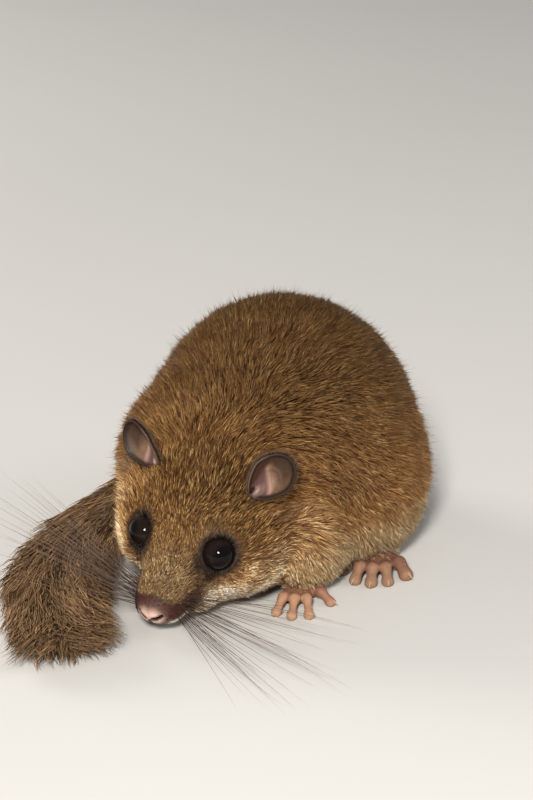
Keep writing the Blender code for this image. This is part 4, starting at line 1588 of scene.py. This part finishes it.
class DormouseStage(bpy.types.PropertyGroup):
    key: FloatProperty(
        name="Key light", description="Power of the main light", default=12.0, min=0, unit="POWER"
    )
    fill: FloatProperty(
        name="Fill light", description="Power of the side light", default=3.5, min=0, unit="POWER"
    )
    rim: FloatProperty(
        name="Rim light", description="Power of the light from behind", default=5.5, min=0, unit="POWER"
    )
    air: FloatVectorProperty(
        name="Air",
        description="Colour of the light all round",
        default=(0.80, 0.82, 0.85),
        subtype="COLOR",
    )


SETTINGS = {
    "dormouse_coat": DormouseCoat,
    "dormouse_tail": DormouseTail,
    "dormouse_face": DormouseFace,
    "dormouse_stage": DormouseStage,
}
SIDES = {"left": 1, "right": -1}

COAT_SEED = 100
EAR_FUZZ_SEED = 300
EAR_FUZZ_HAIRS = 2600
WHISKER_SEED = 500
TAIL_HALVES = {"base": (0.0, 30.0, 401), "end": (30.0, 56.0, 402)}  # start, end, seed
SKIN_GRAIN = 2200.0
TAIL_GRAIN = 1800.0

FLESH_NODES = ("torso", "neck", "head", "thigh_left", "thigh_right", "arm_left", "arm_right")
PAW_NODES = ("hand_left", "hand_right", "foot_left", "foot_right")


class MakeSkin(bpy.types.Operator):
    """Skin of head, body and limbs in one piece"""

    bl_idname = "dormouse.make_skin"
    bl_label = "Skin"

    def execute(self, context):
        coat = context.scene.dormouse_coat
        grid = coat.skin_grid / MM * 1.0
        skin = make_skin(coat.body_depth / MM, grid)
        material = skin_material("skin_bare", SKIN_GRAIN, 0.00010, 0.58, subsurface=0.08)
        finish_piece(skin, material, FLESH_NODES + PAW_NODES)
        return {"FINISHED"}


class MakeEyes(bpy.types.Operator):
    """Wet black eyes"""

    bl_idname = "dormouse.make_eyes"
    bl_label = "Eyes"

    def execute(self, context):
        radius = context.scene.dormouse_face.eye_radius / MM
        material = eye_material()
        for word, side in SIDES.items():
            eye = make_eye(side, "eyeball_" + word, radius)
            finish_piece(eye, material, ("eye_" + word,))
        return {"FINISHED"}


class MakeEars(bpy.types.Operator):
    """Bare, cupped ears with their folds"""

    bl_idname = "dormouse.make_ears"
    bl_label = "Ears"

    def execute(self, context):
        material = skin_material("ear_bare", SKIN_GRAIN, 0.00007, 0.5, subsurface=0.1)
        fuzz = coat_material("ear_hair")
        for seed, side in enumerate(EARS, EAR_FUZZ_SEED):
            finish_piece(make_ear(side), material, ("ear_" + side,))
            finish_piece(ear_fuzz(side, EAR_FUZZ_HAIRS, seed), fuzz)
        return {"FINISHED"}


class MakeClaws(bpy.types.Operator):
    """A claw on every finger and toe"""

    bl_idname = "dormouse.make_claws"
    bl_label = "Claws"

    def execute(self, context):
        finish_piece(make_claws(), claw_material())
        return {"FINISHED"}


class MakeCoat(bpy.types.Operator):
    """Short coat of head and body"""

    bl_idname = "dormouse.make_coat"
    bl_label = "Coat"

    def execute(self, context):
        coat = context.scene.dormouse_coat
        skin = context.scene.objects["skin"]
        material = coat_material("coat_short")
        count = coat.tufts // 1
        for region in range(len(REGIONS)):
            piece = grow_coat(skin, region, count, coat.body_depth / MM, COAT_SEED + region)
            finish_piece(piece, material)
        return {"FINISHED"}


class MakeTail(bpy.types.Operator):
    """Bushy tail on the floor"""

    bl_idname = "dormouse.make_tail"
    bl_label = "Tail"

    def execute(self, context):
        count = context.scene.dormouse_tail.tufts
        bare = skin_material("tail_bare", TAIL_GRAIN, 0.00008, 0.6)
        skin = finish_piece(make_tail_skin(), bare)
        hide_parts("tail_base", "tail_middle", "tail_end")
        material = coat_material("coat_tail")
        for half, (start, end, seed) in TAIL_HALVES.items():
            piece = grow_tail("tail_hair_" + half, start, end, count, seed)
            finish_piece(piece, material)
        return {"FINISHED"}


class MakeWhiskers(bpy.types.Operator):
    """Whiskers on the muzzle and over the eyes"""

    bl_idname = "dormouse.make_whiskers"
    bl_label = "Whiskers"

    def execute(self, context):
        face = context.scene.dormouse_face
        radius = face.whisker_radius / MM
        material = coat_material("whisker_hair")
        for word, side in SIDES.items():
            name, seed = "whiskers_" + word, WHISKER_SEED + side
            piece = make_whiskers(side, name, face.whiskers, radius, seed)
            finish_piece(piece, material)
        return {"FINISHED"}


# The camera: its direction from the animal, tilt, distance, and the spot of the image for its aim
CAMERA_AZIMUTH = 27.3
CAMERA_ELEVATION = 24.5
CAMERA_ROLL = 2.3
CAMERA_DISTANCE = 620.0
CAMERA_TARGET = (0.0, -10.0, 28.0)
TARGET_PIXEL = (261.4, 454.3)
IMAGE_SIZE = (533, 800)
PIXELS_A_MM = 4.1


def camera_axes():
    """Directions from the animal to the camera, and to the right and up in its image."""
    azimuth, elevation, roll = np.radians((CAMERA_AZIMUTH, CAMERA_ELEVATION, CAMERA_ROLL))
    level = np.array((math.sin(azimuth), -math.cos(azimuth), 0.0))
    toward = level * math.cos(elevation) + np.array((0, 0, math.sin(elevation)))
    right = np.array((math.cos(azimuth), math.sin(azimuth), 0.0))
    up = np.cross(toward, right)
    tilted_right = right * math.cos(roll) - up * math.sin(roll)
    tilted_up = up * math.cos(roll) + right * math.sin(roll)
    return toward, tilted_right, tilted_up


def make_camera():
    toward, right, up = camera_axes()
    focal = PIXELS_A_MM * CAMERA_DISTANCE
    place = np.array(CAMERA_TARGET) + toward * CAMERA_DISTANCE
    x = (IMAGE_SIZE[0] / 2 - TARGET_PIXEL[0]) / focal
    y = (TARGET_PIXEL[1] - IMAGE_SIZE[1] / 2) / focal
    back = unit(toward - x * right - y * up)
    right = unit(right - (right @ back) * back)
    up = np.cross(back, right)
    lens = bpy.data.cameras.new("camera")
    lens.sensor_width = 36.0
    lens.lens = 36.0 * focal / max(IMAGE_SIZE)
    lens.clip_start, lens.clip_end = 0.01, 20.0
    camera = new_object("camera", lens)
    turn = Matrix(np.stack([right, up, back], axis=1)).to_4x4()
    camera.matrix_world = Matrix.Translation(to_row(place)) @ turn
    bpy.context.scene.camera = camera


def make_light(name, way, distance, size, power, colour, glint=False):
    """A soft square light that looks at the animal from a direction; only one glints in the eyes."""
    data = bpy.data.lights.new(name, "AREA")
    data.size = size
    data.energy = power
    data.color = colour
    light = new_object(name, data)
    light.visible_glossy = glint
    way = Vector(way).normalized()
    middle = Vector(to_row(CAMERA_TARGET))
    turn = way.to_track_quat("Z", "Y").to_matrix().to_4x4()
    light.matrix_world = Matrix.Translation(middle + way * distance) @ turn


class MakeStage(bpy.types.Operator):
    """Floor, lights and camera"""

    bl_idname = "dormouse.make_stage"
    bl_label = "Stage"

    def execute(self, context):
        stage = context.scene.dormouse_stage
        mesh = bmesh.new()
        bmesh.ops.create_grid(mesh, x_segments=2, y_segments=2, size=3.0)
        floor = from_bmesh("floor", mesh)
        floor.data.materials.append(floor_material())
        world = bpy.data.worlds.new("air")
        world.use_nodes = True
        air = world.node_tree.nodes["Background"].inputs
        air["Color"].default_value = (*stage.air, 1)
        air["Strength"].default_value = 0.30
        context.scene.world = world
        context.scene.view_settings.view_transform = "Standard"
        toward, right, up = camera_axes()
        warm, pale = (1.0, 0.95, 0.88), (1.0, 0.97, 0.94)
        make_light("key", toward + 0.20 * up - 0.10 * right, 0.9, 0.14, stage.key, warm, True)
        make_light("fill", toward * 0.4 + right + 0.5 * up, 1.0, 0.6, stage.fill, pale)
        make_light("rim", -toward * 0.45 - right + up * 0.7, 0.9, 0.4, stage.rim, warm)
        make_camera()
        return {"FINISHED"}


OPERATORS = (MakeSkin, MakeEyes, MakeEars, MakeClaws, MakeCoat, MakeTail, MakeWhiskers, MakeStage)


class DormousePanel(bpy.types.Panel):
    """Sizes and pieces of the dormouse"""

    bl_label = "Dormouse"
    bl_idname = "VIEW3D_PT_dormouse"
    bl_space_type = "VIEW_3D"
    bl_region_type = "UI"
    bl_category = "Dormouse"

    def draw(self, context):
        for settings in SETTINGS:
            group = getattr(context.scene, settings)
            for name in group.__annotations__:
                self.layout.prop(group, name)
        for operator in OPERATORS:
            self.layout.operator(operator.bl_idname)


CLASSES = (*SETTINGS.values(), *OPERATORS, DormousePanel)


def register():
    for thing in CLASSES:
        bpy.utils.register_class(thing)
    for name, group in SETTINGS.items():
        setattr(bpy.types.Scene, name, PointerProperty(type=group))


def unregister():
    for name in SETTINGS:
        delattr(bpy.types.Scene, name)
    for thing in reversed(CLASSES):
        bpy.utils.unregister_class(thing)


def main():
    register()
    bpy.ops.dormouse.make_stage()
    bpy.ops.dormouse.make_skin()
    bpy.ops.dormouse.make_eyes()
    bpy.ops.dormouse.make_ears()
    bpy.ops.dormouse.make_claws()
    bpy.ops.dormouse.make_coat()
    bpy.ops.dormouse.make_tail()
    bpy.ops.dormouse.make_whiskers()


if __name__ == "__main__":
    main()
